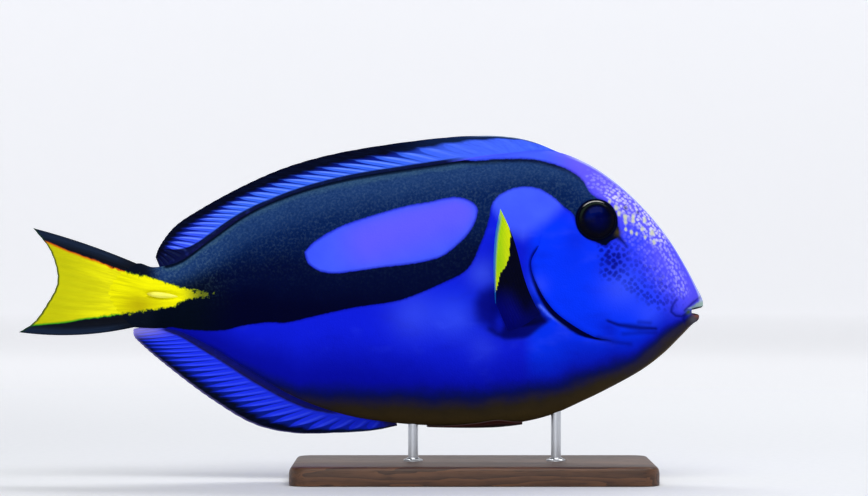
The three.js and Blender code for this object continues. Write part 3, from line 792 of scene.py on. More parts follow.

# %% [markdown]
# ## Shades within the blue
# The blue isn't even. It turns violet on the forehead, the snout and in the oval, is clearest on the
# cheek, deepens to ultramarine on the lower flank, and ends in a brownish belly. These shades are partly
# the fish's own colours, partly painted light from above that pales the upper parts and painted shade that
# darkens the lower flank and the belly. Round the root of the pectoral fin painted shade makes it nearly
# black, and a painted highlight lies on the shoulder girdle behind the gill slit. Each shade is a soft
# field from 0 to 1.

# %% Shades within the blue
BELLY_LINE = [(-60, 44.5), (-48, 39.6), (-35, 32.4), (-20, 25.9), (0, 25.0), (12, 24.7), (38, 24.4),
              (64, 28.2), (73, 31.6), (83, 34.7), (88, 37.1), (92, 40.8), (97, 45.2), (100, 47.6),
              (106, 51.8)]
SKY_FOOT = [(36, 96), (42, 84), (47, 76), (52, 74.5), (59, 79), (66, 85), (70, 95)]
FOREHEAD = [(60, 106), (76, 98), (92, 82), (103, 66), (108, 58)]
VIOLET_CORE = [(3, 77), (13, 80.5), (23, 84), (31, 87)]
LIGHT_PATCHES = [(84.0, 62.0, 6.5, 0.5), (39.0, 66.0, 4.5, 0.45), (39.0, 42.5, 4.5, 0.2),
                 (57.0, 62.5, 3.0, 0.25), (17.0, 53.0, 7.5, 0.36), (30.0, 52.0, 6.5, 0.34),
                 (92.5, 53.5, 4.5, 0.3)]
# The first dark patch is painted shade on the cheek between its creases.
DARK_PATCHES = [(80.0, 47.8, 3.0, 0.5), (38.0, 53.5, 4.0, 0.45), (66.0, 45.0, 7.0, 0.3),
                (-30.0, 41.0, 7.0, 0.25), (69.0, 77.5, 4.0, 0.3), (81.0, 70.0, 5.0, 0.5),
                (67.5, 71.0, 6.5, 0.16)]
AXIL_SHADE = [(38.8, 59.4), (37.5, 56.7), (38.4, 51.4), (42.5, 48.4), (46.8, 46.9), (51.1, 47.7),
              (56.0, 50.2), (58.8, 52.5), (57.0, 56.0), (50.0, 62.0), (43.5, 62.0)]
ROOT_INK = [(56.6, 55.0), (58.9, 50.7), (56.4, 49.8), (51.5, 49.2), (51.5, 52.5)]


def above_line(line):
    """Height above a line that is given by its points from the rear to the front."""
    return z - np.interp(x, *np.array(line).T)


def patches(places):
    """Soft round patches, each given by its middle, width and strength."""
    return sum(strength * bell(np.hypot(x - a, z - b), width) for a, b, width, strength in places)


def oblong(middle, half):
    """1 in the middle of a soft upright or level oblong, given by its middle and half sizes."""
    return bell(np.hypot((x - middle[0]) / half[0], (z - middle[1]) / half[1]), 1.0)


# Below the belly's line the blue darkens to ultramarine and brown: partly own colour, partly painted shade.
above_belly = above_line(BELLY_LINE)
stretch = mix(1.0, 1.5, step(x, -5, -40)) + 0.6 * step(x, 78, 95) + 1.4 * step(x, 97, 105)
stretch = np.where(above_belly > 0, stretch, mix(1.0, 0.4, step(x, 82, 92)))
above_belly = above_belly * stretch
in_oval = depth_inside(x, z, OVAL)
# Violet and sky pale the forehead, the back behind the eye and the oval: partly own tone, partly painted
# light.
violet = beside(FOREHEAD, 8.5) * mix(0.95, 0.72, step(x, 78, 94)) * step(x, 57, 71)
violet *= 1 - 0.6 * bell(np.hypot(x - 88.0, z - 77.0), 5.0)
behind_eye = 0.95 * step(above_line(SKY_FOOT), 0, 7) * step(x, 36, 40) * step(x, 69, 63)
along_back = step(z, 98.0, 101.5) * step(x, 74, 62)
cheek = step(x, 51.0, 57.0) * step(z, 92, 80) * step(x, 110, 102)
skin_fields |= {
    "above_belly": above_belly,
    "clear_flank": mix(-1.0, 5.0, step(x, -5, 38)),
    "violet": np.maximum(violet, 0.8 * step(in_oval, -1.0, 2.5) * beside(VIOLET_CORE, 9.5)),
    "sky": np.maximum(np.maximum(0.95 * step(in_oval, -1.5, 1.0), behind_eye), along_back),
    "cheek": np.maximum(cheek, 0.4 * oblong((31.0, 54.0), (11.0, 8.0))),
    "light_patch": patches(LIGHT_PATCHES),
    "dark_patch": patches(DARK_PATCHES),
    # Painted shade round the root of the pectoral fin, in the pit under and behind it.
    "axil_painted_shade": step(depth_inside(x, z, AXIL_SHADE), -3.2, 1.6) * (1 - 0.6 * oblong((44.6, 50.8), (1.4, 3.0))),
    "root_shade": step(foot - mix(3.4, 2.0, step(x, 52.0, 58.0)), 0, -1.6) * step(z, 44.0, 46.5),
    "root_ink": step(depth_inside(x, z, ROOT_INK), -0.8, 0.4),
    # A painted highlight along the edge of the shoulder girdle behind the gill slit.
    "girdle_highlight": beside([(57.4, 55.8), (60.3, 52.9), (66.0, 49.4)], 0.55) * shoulder,
}
print("height above the belly's line", above_belly.min().round(1), "to", above_belly.max().round(1))

# %% [markdown]
# ## Spots and lines of the head
# Pale spots crowd the forehead in front of the eye and dark ones the cheek below it. Their fields say how
# crowded they are, and only the palest few have places of their own. Lines follow the folds: the slit of
# the gill opening and the groove at the eye, as painted shade, and the lips. Painted highlights run along
# the ridge of the forehead and the lower edge of the chin.

# %% Spots and lines of the head
GOLD_SPOTS = [(79.7, 89.2, 0.7), (81.8, 87.2, 0.9), (82.8, 85.4, 0.8), (84.7, 84.3, 0.9), (84.8, 82.7, 0.8),
              (87.2, 84.3, 0.75), (87.2, 83.0, 0.8), (90.9, 83.3, 0.85), (90.2, 80.4, 0.8), (93.4, 79.2, 1.0),
              (93.9, 76.2, 0.75), (91.1, 77.8, 0.6), (84.9, 80.3, 0.6), (86.7, 79.4, 0.7), (88.4, 78.9, 0.6)]
PALE_CROWDS = [
    ([(81, 90.5), (86, 87.8), (91, 83.5), (95.5, 78.0)], 3.8, 1.0),
    ([(74, 96), (80, 93)], 4.0, 0.42),
    ([(95, 78), (98.5, 72), (101, 66), (103, 61)], 3.2, 0.5),
    ([(88, 78), (94, 70), (99, 63)], 6.0, 0.3),
]
DARK_CROWDS = [
    ([(78.6, 72.5), (82.0, 71.0), (80.5, 68.0)], 4.4, 1.0),
    ([(81, 67), (87, 63), (93, 58.5), (97, 57)], 3.8, 0.55),
    ([(84, 72), (91, 66), (99, 59)], 6.5, 0.45),
]
UPPER_LIP = [(104.9, 54.9), (106.8, 56.0), (109.0, 57.6), (110.4, 57.6), (110.6, 55.2), (108.0, 54.6)]
LIP_PATCHES = {"orange": (107.6, 52.9, 1.1), "green": (105.1, 53.9, 0.9), "grey": (106.6, 51.4, 1.2)}
NO_SLIT = -3.0


def crowd(bands):
    """The strongest of some soft bands, each given by its line, width and strength."""
    return np.max([strength * beside(line, width) for line, width, strength in bands], axis=0)


def spots(places):
    """The strongest of some round spots, each given by its middle and radius, a third higher than wide."""
    return np.max([bell(np.hypot(x - a, (z - b) * 0.75), radius) for a, b, radius in places], axis=0)


from_eye = np.hypot(x - 75.4, z - 83.0)
# A painted highlight along the ridge of the forehead.
ridge_highlight = step(np.abs(forehead_across), 2.7, 1.3) * step(x, 64, 72)
# A painted highlight along the lower edge of the chin.
chin_highlight = step(np.abs(y), 2.8, 1.2) * step(z, 56.0, 50.0) * step(x, 84.0, 92.0) * step(x, 106.5, 104.0)
groove = beside(EYE_GROOVE, mix(0.95, 0.45, step(x, 81.5, 85.0)))
skin_fields |= {
    "forehead_along": forehead_along * MM,
    "forehead_across": forehead_across * MM,
    "pale_spots": crowd(PALE_CROWDS) * step(from_eye, 7.4, 8.6),
    "gold_spots": spots(GOLD_SPOTS),
    "dark_spots": crowd(DARK_CROWDS) * step(x, 74.5, 77.0),
    "ridge_highlight": ridge_highlight,
    "chin_highlight": chin_highlight,
    "olive": bell(np.hypot(x - 82.4, z - 79.3), 1.1),
    "groove": groove * mix(0.9, 0.5, step(x, 82.5, 85.5)),
    "nostril": sum(bell(np.hypot(x - a, z - b), radius * 0.8) for a, b, radius in NOSTRILS),
    "crease": np.clip(crease, 0, 1) * step(above_belly, -1.5, 1.5),
    "foot_crease": foot_crease,
    # Where the painted shade of the gill slit lies, and how strong it is.
    "slit": np.where(shoulder & (gill_open > 0.02), slit_width - gill_distance, NO_SLIT),
    "slit_shade": mix(0.7, 1.0, step(z, 68.0, 58.0)) * mix(0.3, 1.0, step(x, 79.0, 75.8)),
    "lip_pale": step(depth_inside(x, z, UPPER_LIP), -0.3, 0.4),
    "mouth": np.where(shares * (len(SECTIONS) - 1) > LIPS_ROW, 1.0, 0.0),
}
for name, (a, b, radius) in LIP_PATCHES.items():
    skin_fields[f"lip_{name}"] = bell(np.hypot(x - a, z - b), radius)
print("fields of the skin so far", len(skin_fields))

# %% [markdown]
# ## Streaks along the tail
# The yellow wedge lies partly on the stalk's skin and partly on the fin, and its fine streaks run along
# the fin's rays. So the skin, too, gets two fields: the number of the ray that a point lies on, if the
# rays were drawn forward over the stalk, and how far out along the fin it is. Noise that is stretched
# along the rays makes the streaks.

# %% Streaks along the tail
YELLOW, YELLOW_SHADE, YELLOW_STREAK = colour(246, 242, 6), colour(214, 210, 5), colour(184, 178, 2)

tail_reach = np.clip((CAUDAL_ROOT["x"] - x) / CAUDAL_ROOT["run"], 0, 1)
tail_top = mix(CAUDAL_ROOT["top"], CAUDAL_ROOT["tip_top"], tail_reach)
tail_bottom = mix(CAUDAL_ROOT["bottom"], CAUDAL_ROOT["tip_bottom"], tail_reach)
skin_fields["tail_reach"] = tail_reach
skin_fields["tail_ray"] = (tail_top - z) / (tail_top - tail_bottom) * (TAIL_RAYS - 1)


def streaks(finish, ray, reach, across=3.0, lengthwise=2.5):
    """Fibres that run along the rays of a fin."""
    sockets = {"X": ray * across, "Y": reach * lengthwise, "Z": 0.0}
    along_ray = finish.node("ShaderNodeCombineXYZ", sockets)["Vector"]
    return finish.node("ShaderNodeTexNoise", {"Vector": along_ray, "Scale": 2.0, "Detail": 3.0})["Fac"]


def gold_streaks(finish, ray, reach):
    """The yellow of the tail, streaked along its rays, smoothest on the stalk."""
    fibres = streaks(finish, ray, reach, 0.7, 1.3)
    fine = streaks(finish, ray, reach, 4.0, 1.6)
    clear = reach.step(0.0, 0.3) * 0.65 + 0.35
    return finish.layers(
        YELLOW,
        (YELLOW_SHADE, fibres.step(0.34, 0.7) * clear),
        (YELLOW_STREAK, fine.step(0.45, 0.8) * clear * 0.4),
    )


print("rays from the back to the belly, at the end of the stalk", TAIL_RAYS)

# %% [markdown]
# ## Blue of the skin
# The real blue comes from a layer in the skin that scatters light like satin, so it changes softly from
# place to place. It could be one texture painted by hand. Here it is coats of colour, each with the share
# of it that shows, worked out from the fields and from soft noise, so it stays sharp at any size.

# %% Blue of the skin
FLANK, CHEEK, VIOLET, SKY = colour(13, 28, 214), colour(4, 50, 242), colour(96, 86, 240), colour(68, 94, 250)
DEEP, NAVY, BELLY, BELLY_LOW = colour(7, 13, 166), colour(10, 18, 80), colour(48, 41, 30), colour(70, 57, 30)
# The first two colours of the next line are painted shade round the pectoral fin's root.
AXIL_SHADE_BLUE, ROOT_SHADE_BLUE, ROOT_BLACK = colour(4, 8, 122), colour(3, 7, 100), colour(1, 2, 34)
# The next line holds painted highlights for the chin's edge and the shoulder girdle.
CHIN_HIGHLIGHT, GIRDLE_HIGHLIGHT = colour(118, 96, 56), colour(76, 110, 255)


def blue_of_skin(skin_of, lumps, fine):
    """Flank and cheek, cloudy patches, the violet parts, partly painted light from above, the belly, partly
    painted shade, painted shade round the root of the fin, and a painted highlight on the shoulder girdle.
    """
    field = skin_of.field
    cloud = skin_of.noise(9.0, 3.0, skin_of.stretched(0.6, 1.0, 1.3))
    violet = field("violet")
    above = field("above_belly") + (lumps - 0.5) * 3.0 + (fine - 0.5) * 1.2
    return skin_of.layers(
        FLANK,
        (CHEEK, field("cheek")),
        (DEEP, (cloud.step(0.52, 0.78) * 0.22 + field("dark_patch")).least(1.0)),
        (SKY, (cloud.step(0.46, 0.25) * 0.12 + field("light_patch")).least(1.0)),
        # Sky and violet: partly the fish's own lighter tone, partly painted light from above.
        (SKY, field("sky") * (0.86 + (lumps - 0.5) * 0.4)),
        (VIOLET, (violet + (lumps - 0.5) * 0.25 * violet).least(1.0)),
        # From here to the belly: darker downwards, partly the fish's own colour and partly painted shade.
        (DEEP, (above + field("clear_flank")).step(24.0, 6.0)),
        (NAVY, above.step(7.5, 0.8)),
        (BELLY, above.step(2.5, -2.5)),
        (BELLY_LOW, above.step(-1.0, -6.5) * (0.4 + fine * 0.7)),
        # Painted highlight along the chin's edge.
        (CHIN_HIGHLIGHT, field("chin_highlight") * (0.15 + fine * 0.5)),
        # Painted shade round the root of the pectoral fin.
        (AXIL_SHADE_BLUE, field("axil_painted_shade") * (0.9 + (lumps - 0.5) * 0.4)),
        (ROOT_SHADE_BLUE, field("root_shade") * 0.94),
        (ROOT_BLACK, field("root_ink") * 0.85),
        # Painted highlight on the shoulder girdle.
        (GIRDLE_HIGHLIGHT, field("girdle_highlight") * (0.15 + fine * 1.1)),
    )

# %% [markdown]
# ## Spots of the head
# The spots are the cells of a Voronoi pattern, one spot in each cell, in coordinates measured over the
# skin, so that they keep their size on the slopes of the forehead. Each cell also has a random number. It
# decides whether the spot shows at all where they are few, and how pale it is.

# %% Spots of the head
PALE_GROUND, PALE_SPOT, YELLOW_SPOT = colour(122, 110, 236), colour(206, 204, 248), colour(210, 214, 150)
# The second colour of the next line is a painted highlight for the forehead's ridge.
DARK_SPOT, RIDGE_HIGHLIGHT = colour(4, 10, 128), colour(192, 204, 236)
PALE_SIZE, DARK_SIZE = 1.28, 1.65
BEND = 0.8 * MM


def spotted(skin_of, blue, fine):
    """The blue with pale, gold and dark spots over it, and a painted highlight along the ridge."""
    field = skin_of.field
    bend = (skin_of.noise(1.3, 2.0) - 0.5) * BEND
    sockets = {"X": field("forehead_along") + bend, "Y": field("forehead_across") - bend}
    over_skin = skin_of.node("ShaderNodeCombineXYZ", sockets)["Vector"]
    pale, pale_chance = skin_of.cells(PALE_SIZE, over_skin, 0.8, flat=True)
    dark, dark_chance = skin_of.cells(DARK_SIZE, over_skin, 0.7, flat=True)
    crowd, dots = field("pale_spots"), field("dark_spots")
    pale_shown = (crowd * 1.35 - pale_chance * 0.35).step(0.0, 0.6) * (0.25 + 0.75 * crowd)
    dark_shown = (dark + (1 - dots) * 0.06).step(0.6, 0.24) * (dots * 1.3 - dark_chance * 0.3).step(0.0, 0.6)
    return skin_of.layers(
        blue,
        (PALE_GROUND, crowd * crowd * 0.4),
        (PALE_SPOT, pale.step(0.58, 0.22) * pale_shown * (0.4 + 0.55 * pale_chance)),
        (YELLOW_SPOT, (field("gold_spots") + (fine - 0.5) * 0.7).step(0.2, 0.95) * 0.8),
        (DARK_SPOT, dark_shown * (0.2 + dots * 0.7)),
        # Painted highlight along the forehead's ridge.
        (RIDGE_HIGHLIGHT, field("ridge_highlight") * (0.35 + fine * 0.6)),
    )

# %% [markdown]
# ## Black of the skin
# The black isn't plain either: it is ink below, and lighter teal toward the back, which is painted light
# from above. Fine noise, lighter and darker than the ground, makes the grains of tiny rough scales, painted
# where that light falls.

# %% Black of the skin
# BLACK_STRIP, BLACK_MID, BLACK_HIGH, BLACK_TOP and BLACK_GRAIN grow lighter upwards: painted light from
# above.
BLACK_LOW, BLACK_STRIP, BLACK_MID = colour(0, 2, 34), colour(0, 7, 46), colour(5, 30, 78)
BLACK_HIGH, BLACK_TOP, BLACK_GRAIN = colour(26, 55, 104), colour(52, 84, 108), colour(86, 116, 138)
# The second colour of the next line is painted shade at the dorsal fin's foot and below the eye.
BLACK_STALK, BLACK_SHADE_LINE, TAIL_INK = colour(2, 9, 24), colour(0, 4, 26), colour(8, 15, 30)


def black_of_skin(skin_of, lumps, edge):
    """Ink below, painted light from above as teal and grains along the back, ink again at the edges and on
    the stalk, and painted shade at the dorsal fin's foot and below the eye.
    """
    field = skin_of.field
    grain_noise = skin_of.noise(0.8, 3.0, roughness=0.6)
    upper = field("height") + (lumps - 0.5) * 0.08
    under = field("under_back") + (lumps - 0.5) * 3.0
    stalk = field("stalk")
    grainy = upper.step(0.45, 1.0) * 0.2 + stalk * upper.step(0.3, 0.6) * 0.24
    return skin_of.layers(
        BLACK_LOW,
        # Painted light from above: lighter teal toward the back, a pale line under it, and grains where it
        # falls.
        (BLACK_STRIP, upper.step(0.42, 0.6)),
        (BLACK_MID, upper.step(0.6, 0.86)),
        (BLACK_HIGH, under.step(14.0, 3.0)),
        (BLACK_TOP, under.step(3.4, 1.6) * (0.15 + grain_noise * 0.8)),
        (BLACK_GRAIN, grain_noise.step(0.44, 0.76) * grainy),
        (BLACK_LOW, grain_noise.step(0.5, 0.28) * upper.step(0.45, 1.0) * 0.25),
        (BLACK_LOW, edge.step(1.9, 0.5) * under.step(9.0, 3.0) * 0.85),
        (BLACK_STALK, stalk * upper.step(0.85, 0.5)),
        (TAIL_INK, field("tail_ink")),
        # Painted shade at the dorsal fin's foot and below the eye.
        (BLACK_SHADE_LINE, (field("fin_base_shade") + field("eye_shadow")).least(1.0) * 0.95),
    )

# %% [markdown]
# ## Yellow, folds and mouth
# The wedge has a toothed edge, where single scales are yellow or black, and its point dies away in green
# specks. Over all this comes painted shade in the folds, the gill slit, the nostrils, the mouth and the
# eye's socket, which makes a shallow crease read as a deep one, with the colours of the lips and of an
# olive patch at the eye.

# %% Yellow, folds and mouth
GOLD_DUSK, GOLD_POINT, GOLD_EDGE = colour(170, 152, 8), colour(72, 98, 30), colour(96, 120, 16)
# Painted shade: the first, third and fourth colours below, for the eye's groove, creases, slit and nostrils.
GROOVE_SHADE, OLIVE, CREASE_SHADE, SLIT_SHADE = colour(3, 5, 36), colour(66, 58, 26), colour(3, 8, 104), colour(1, 3, 56)
LIPS = {"lip_orange": colour(142, 82, 24), "lip_green": colour(72, 96, 26), "lip_grey": colour(82, 82, 90)}
# The second colour of the next line is painted shade inside the mouth.
LIP_PALE, MOUTH_SHADE = colour(150, 178, 158), colour(14, 12, 20)


def with_wedge(skin_of, tint, lumps):
    """The yellow wedge, with noise in its distance field for teeth and for specks at its point."""
    field = skin_of.field
    point = field("yellow_point")
    specks = skin_of.noise(0.55, 2.0) - 0.5
    teeth = (skin_of.noise(1.5, 2.0) - 0.5) * (2.2 + point * 1.4)
    teeth = field("yellow") + teeth + specks * (1.2 + point * 1.6)
    gold = skin_of.layers(
        gold_streaks(skin_of, field("tail_ray"), field("tail_reach")),
        (GOLD_DUSK, field("yellow_dusk") * (0.45 + lumps * 0.6)),
        (GOLD_POINT, point * 0.8),
    )
    gold = skin_of.blend(GOLD_EDGE, gold, teeth.step(-0.1, 0.8))
    return skin_of.blend(tint, gold, teeth.step(-0.25, 0.25) * (1 - point * 0.45))


def with_folds(skin_of, tint, fine):
    """Painted shade in the groove at the eye, the creases, the gill slit, the nostrils, the mouth and the
    socket of the eye, with an olive patch and the lips' own colours.
    """
    field = skin_of.field
    return skin_of.layers(
        tint,
        # Painted shade in the groove at the eye and, two lines down, in the creases.
        (GROOVE_SHADE, (field("groove") * 1.1).least(1.0)),
        (OLIVE, field("olive") * 0.9),
        (CREASE_SHADE, (field("crease") * 0.86 + field("foot_crease") * 0.8).least(1.0)),
        *[(shade, field(name) * 0.85) for name, shade in LIPS.items()],
        (LIP_PALE, field("lip_pale") * (0.45 + fine * 0.8)),
        # Painted shade in the gill slit and the nostrils.
        (SLIT_SHADE, (field("slit") + (fine - 0.5) * 0.2).step(-0.75, 0.3) * field("slit_shade")),
        (SLIT_SHADE, field("nostril").least(1.0)),
        # Painted shade inside the mouth, and then in the socket round the eye.
        (MOUTH_SHADE, field("mouth")),
        (BLACK_LOW, field("eye_distance").step(7.1, 6.6)),
    )

# %% [markdown]
# ## Skin
# The real skin carries tiny rough scales under clear mucus. A high gloss would lay a grey veil over the
# black and the blue, so the surface is half rough with almost no mirror shine, and scattered cells of
# half a millimetre shade it as scales.

# %% Skin
def skin_finish():
    skin_of = Finish("skin", specular_ior_level=0.012)
    scales, _ = skin_of.cells(0.55)
    lumps, fine = skin_of.noise(7.0), skin_of.noise(0.8, 3.0)
    edge = skin_of.field("black") + (skin_of.noise(1.1, 3.0) - 0.5) * 0.5
    blue = spotted(skin_of, blue_of_skin(skin_of, lumps, fine), fine)
    blue = skin_of.blend(blue, DEEP, edge.step(-0.9, 0.1) * 0.55)
    tint = skin_of.blend(blue, black_of_skin(skin_of, lumps, edge), edge.step(-0.2, 0.3))
    tint = with_folds(skin_of, with_wedge(skin_of, tint, lumps), fine)
    skin_of.set(base_color=tint, roughness=0.4 + 0.16 * fine)
    skin_of.bump((1 - scales) * 0.6 + fine * 0.4, 0.09, 0.55)
    return skin_of.material


finish = skin_finish()
print("nodes of the skin's material", len(finish.node_tree.nodes), "fields", len(skin_fields))
make_piece("skin", skin, finish, ("head", "torso", "tail_stalk"), fields=skin_fields)

# %% [markdown]
# ## Rayed sheets
# A fin is a thin membrane stretched over rays. Here it is one closed sheet on a grid: s runs from the
# first ray to the last, r from the root to the free edge. The front half of each grid row lies on one
# face and the second half, read backwards, on the other. Each ray is a soft ridge on both faces, the
# edge is rounded, and it draws in a little between the rays.

# %% Rayed sheets
SHEATH, RIDGE_WIDTH = 0.1, 0.17
EDGE_ROUNDING = 0.025
EDGE_LEFT, SIDE_LEFT = 0.1, 0.12
SIDEWAYS = np.array([0, 1.0, 0])


def ray_gap(s, rays):
    """Distance to the nearest ray, in spaces between rays: 0 on a ray and 0.5 half way."""
    return np.abs((s * (rays - 1) + 0.5) % 1 - 0.5)


def edge_reaches(count):
    """Reaches from 0 to 1 whose last four lie on the rounding of the edge."""
    plain = np.linspace(0, 1 - EDGE_ROUNDING, count - 4)
    turn = np.linspace(0, np.pi / 2, 5)[1:]
    return np.concatenate([plain, 1 - EDGE_ROUNDING + EDGE_ROUNDING * np.sin(turn)])[None]


def sheet(middle, half, rays, ridge, per_ray=8, reaches=44, across=None, scallop=0.015):
    """A closed sheet about middle(s, r), half(s, r) thick to each side, with its fields. Toward the edge
    it thins by a quarter circle, and toward the first and last ray by the root of 1 - |2 s - 1|^(2 rays)."""
    s = np.linspace(0, 1, (rays - 1) * per_ray + 1)[:, None]
    r = edge_reaches(reaches)
    gap = ray_gap(s, rays)
    reach = r * (1 - scallop * (2 * gap) ** 2)
    place = middle(s, reach)
    if across is None:
        across = np.cross(np.gradient(place, axis=0), np.gradient(place, axis=1))
        across /= np.linalg.norm(across, axis=-1, keepdims=True) + 1e-12
    thick = half(s, r) + ridge * bell(gap, RIDGE_WIDTH) * step(r, SHEATH * 0.6, SHEATH * 2.2) * (1 - 0.6 * r)
    rounding = np.clip((r - 1 + EDGE_ROUNDING) / EDGE_ROUNDING, 0, 1)
    thick = thick * np.maximum(np.sqrt(1 - rounding**2), EDGE_LEFT)
    thick = thick * np.maximum(np.sqrt(1 - np.abs(2 * s - 1) ** (2.0 * rays)), SIDE_LEFT)
    offset = thick[..., None] * across
    grid = np.concatenate([place + offset, (place - offset)[:, ::-1]], 1)
    both = lambda value: np.concatenate([value, value[:, ::-1]], 1)
    ray, reach = np.broadcast_arrays(s * (rays - 1), r)
    return grid, {"ray": both(ray), "reach": both(reach)}


print("from a ray to the middle between two", ray_gap(np.array([0.0, 0.25, 0.5]), 2))


def make_pair(name, grid, finish, slot, fields):
    """A fin on each side of the body, from the grid of the left one."""
    for side_name, side in SIDES.items():
        on_side = grid * np.array([1, side, 1])
        replaced = (f"{slot}_{side_name}",)
        make_piece(f"{name}_{side_name}", on_side, finish, replaced, "zip", fields=fields)

# %% [markdown]
# ## Fins of the back and the belly
# Both fins grow from the mid-plane. Their rays lie swept far back, almost level, so the dark streaks
# between them do too. At the root a smooth sheath of skin covers the rays. The membranes wave slightly
# from side to side, as they do when the fish swims.

# %% Fins of the back and the belly
ROOT_DEPTH = 1.8
DORSAL = {
    "rays": 35, "front": 63.0, "rear": -64.0, "up": 1, "wave": 0.45,
    "roots": [[0.0], [0.316], [0.671], [0.838], [1.0]], "tips": [[0.0], [0.52], [0.765], [0.931], [1.0]],
    "edge": [(63.5, 105.0), (54.8, 108.5), (46.2, 110.1), (33.0, 110.2), (11.9, 108.0), (-9.6, 104.3),
             (-24.0, 100.2), (-36.0, 95.1), (-50.8, 87.2), (-60.0, 81.0), (-64.9, 74.3), (-65.9, 71.4)],
}
ANAL = {
    "rays": 30, "front": 11.1, "rear": -62.5, "up": -1, "wave": 0.35,
    "roots": [[0.0], [0.303], [0.57], [0.786], [1.0]], "tips": [[0.0], [0.474], [0.724], [0.919], [1.0]],
    "edge": [(11.6, 17.3), (4.0, 15.8), (-8.0, 15.0), (-22.1, 15.0), (-34.3, 17.8), (-47.8, 25.7),
             (-61.9, 36.2), (-70.2, 43.2), (-72.9, 46.2), (-73.0, 48.4)],
}


def midline_sheet(fin, root_line):
    """The sheet of a fin in the mid-plane: its root follows the body, and each ray runs straight to its
    own place on the free edge, lifted by a slight arch."""
    edge = curve_through(fin["edge"])

    def middle(s, r):
        x = mix(fin["front"], fin["rear"], along(fin["roots"], s)[..., 0])
        root_z = root_line(x) - fin["up"] * ROOT_DEPTH
        tip = edge(along(fin["tips"], s)[..., 0])
        arch = 0.35 * fin["up"] * np.sin(np.pi * r) * step(s, 0, 0.1) * step(s, 1, 0.9)
        y = fin["wave"] * np.sin(9.0 * s + 1.0) * r**2 * np.sin(np.pi * s)
        z = mix(root_z, tip[..., 1], r) + arch
        return np.stack(np.broadcast_arrays(mix(x, tip[..., 0], r), y, z), -1)

    def half(s, r):
        return mix(0.21, 0.86, np.clip(1 - r / 0.62, 0, 1) ** 1.6) + 0.1 * bell(r - 0.17, 0.05)

    return sheet(middle, half, fin["rays"], 0.13, scallop=0.008, across=SIDEWAYS)

# %% [markdown]
# ## Where the fins' colours lie
# Above the sheath, dark wedges open between the light bands toward a black margin, whose width changes
# along the fin. A dark strip follows the foot of each fin, the front of the dorsal fin is clear blue, and
# the anal fin is hazy at its edge and rear end. These are fields again: the margin and the strips are read
# from short tables along the body.

# %% Where the fins' colours lie
SHEATH_END = 0.2
BACK_STRIP = [(-66, 6.5), (-61.2, 4.8), (-58, 3.7), (-54.8, 2.5), (-51.6, 1.9), (-42, 1.7), (-35.6, 1.2),
              (-29, 0.9)]
UNDER_STRIP = [(-66, 0.0), (-60, 1.2), (-52, 2.2), (-35, 2.9), (-18, 2.0), (-5, 0.0)]
DORSAL |= {"margin_span": (-64.0, 63.0), "haze": 0.0,
           "margins": [0.84, 0.73, 0.71, 0.7, 0.7, 0.69, 0.67, 0.74, 0.79, 0.88, 1.0]}
ANAL |= {"margin_span": (-73.0, 11.0), "haze": 0.7, "margins": [0.95, 0.88, 0.83, 0.8, 0.78, 0.78, 0.8, 0.86]}


def foot_of_dorsal(x, above):
    """The dark strip along the foot, the same ink over all its height."""
    strip = np.interp(x, *np.array(BACK_STRIP).T)
    return step(above, strip + 0.25, strip - 0.25) * step(x, 36.0, 26.0), np.zeros(x.shape)


def foot_of_anal(x, above):
    """The strip along the foot and the fin's dark front end, and how low in them a point lies."""
    strip = np.interp(x, *np.array(UNDER_STRIP).T)
    front_end = 0.9 * step(x, 4.0, 9.0)
    foot = step(above, strip + 0.5, strip - 0.3) * step(strip, 0.1, 0.8)
    low = np.clip(above / np.maximum(strip, 0.1), 0, 1) ** 2
    return np.maximum(foot, front_end), np.maximum(low, front_end)


def midline_fields(fin, grid, fields, root_line):
    """Fields of a fin in the mid-plane. Its margins say where the black margin starts, as shares of the
    reach at even steps along the body, from the rear end to the front one. Opening is the share of the
    way from the sheath to the margin."""
    s, reach, x = fields["ray"] / (fin["rays"] - 1), fields["reach"], grid[..., 0]
    dorsal = fin["up"] > 0
    span = np.clip((x - fin["margin_span"][0]) / np.diff(fin["margin_span"]), 0, 1)
    margin_at = along([[m] for m in fin["margins"]], span)[..., 0]
    haze = fin["haze"] * (0.5 * step(reach, 0.95, 1.0) + step(s, 0.82, 0.96) * step(reach, 0.12, 0.6))
    haze = haze + dorsal * 0.7 * step(x, 32.0, 42.0) * step(reach, 0.92, 0.98)
    above = (grid[..., 2] - root_line(x)) * fin["up"]
    foot, foot_low = (foot_of_dorsal if dorsal else foot_of_anal)(x, above)
    return {
        **fields,
        "margin": reach - margin_at,
        "opening": np.clip((reach - SHEATH_END) / np.maximum(margin_at - SHEATH_END, 0.05), 0, 1),
        "forward": step(x, 6.0, 36.0) if dorsal else 0.6 * step(x, -20.0, 8.0),
        "rear": step(x, -36.0, -58.0) * dorsal,
        "foot": np.clip(foot, 0, 1),
        "foot_low": foot_low,
        "haze": np.clip(haze, 0, 0.85),
    }

# %% [markdown]
# ## Streaked membranes
# Each ray carries a light band, and dark wedges lie between the bands, widening outwards until they meet
# in the black margin. One could draw the wedges as a picture. Here they come from two numbers, the
# distance to the nearest ray and the opening, so they follow every ray of both fins.

# %% Streaked membranes
FIN_STREAK, FIN_MARGIN, FIN_INK = colour(5, 24, 132), colour(1, 3, 24), colour(14, 34, 74)
FIN_VIOLET = colour(52, 62, 242)
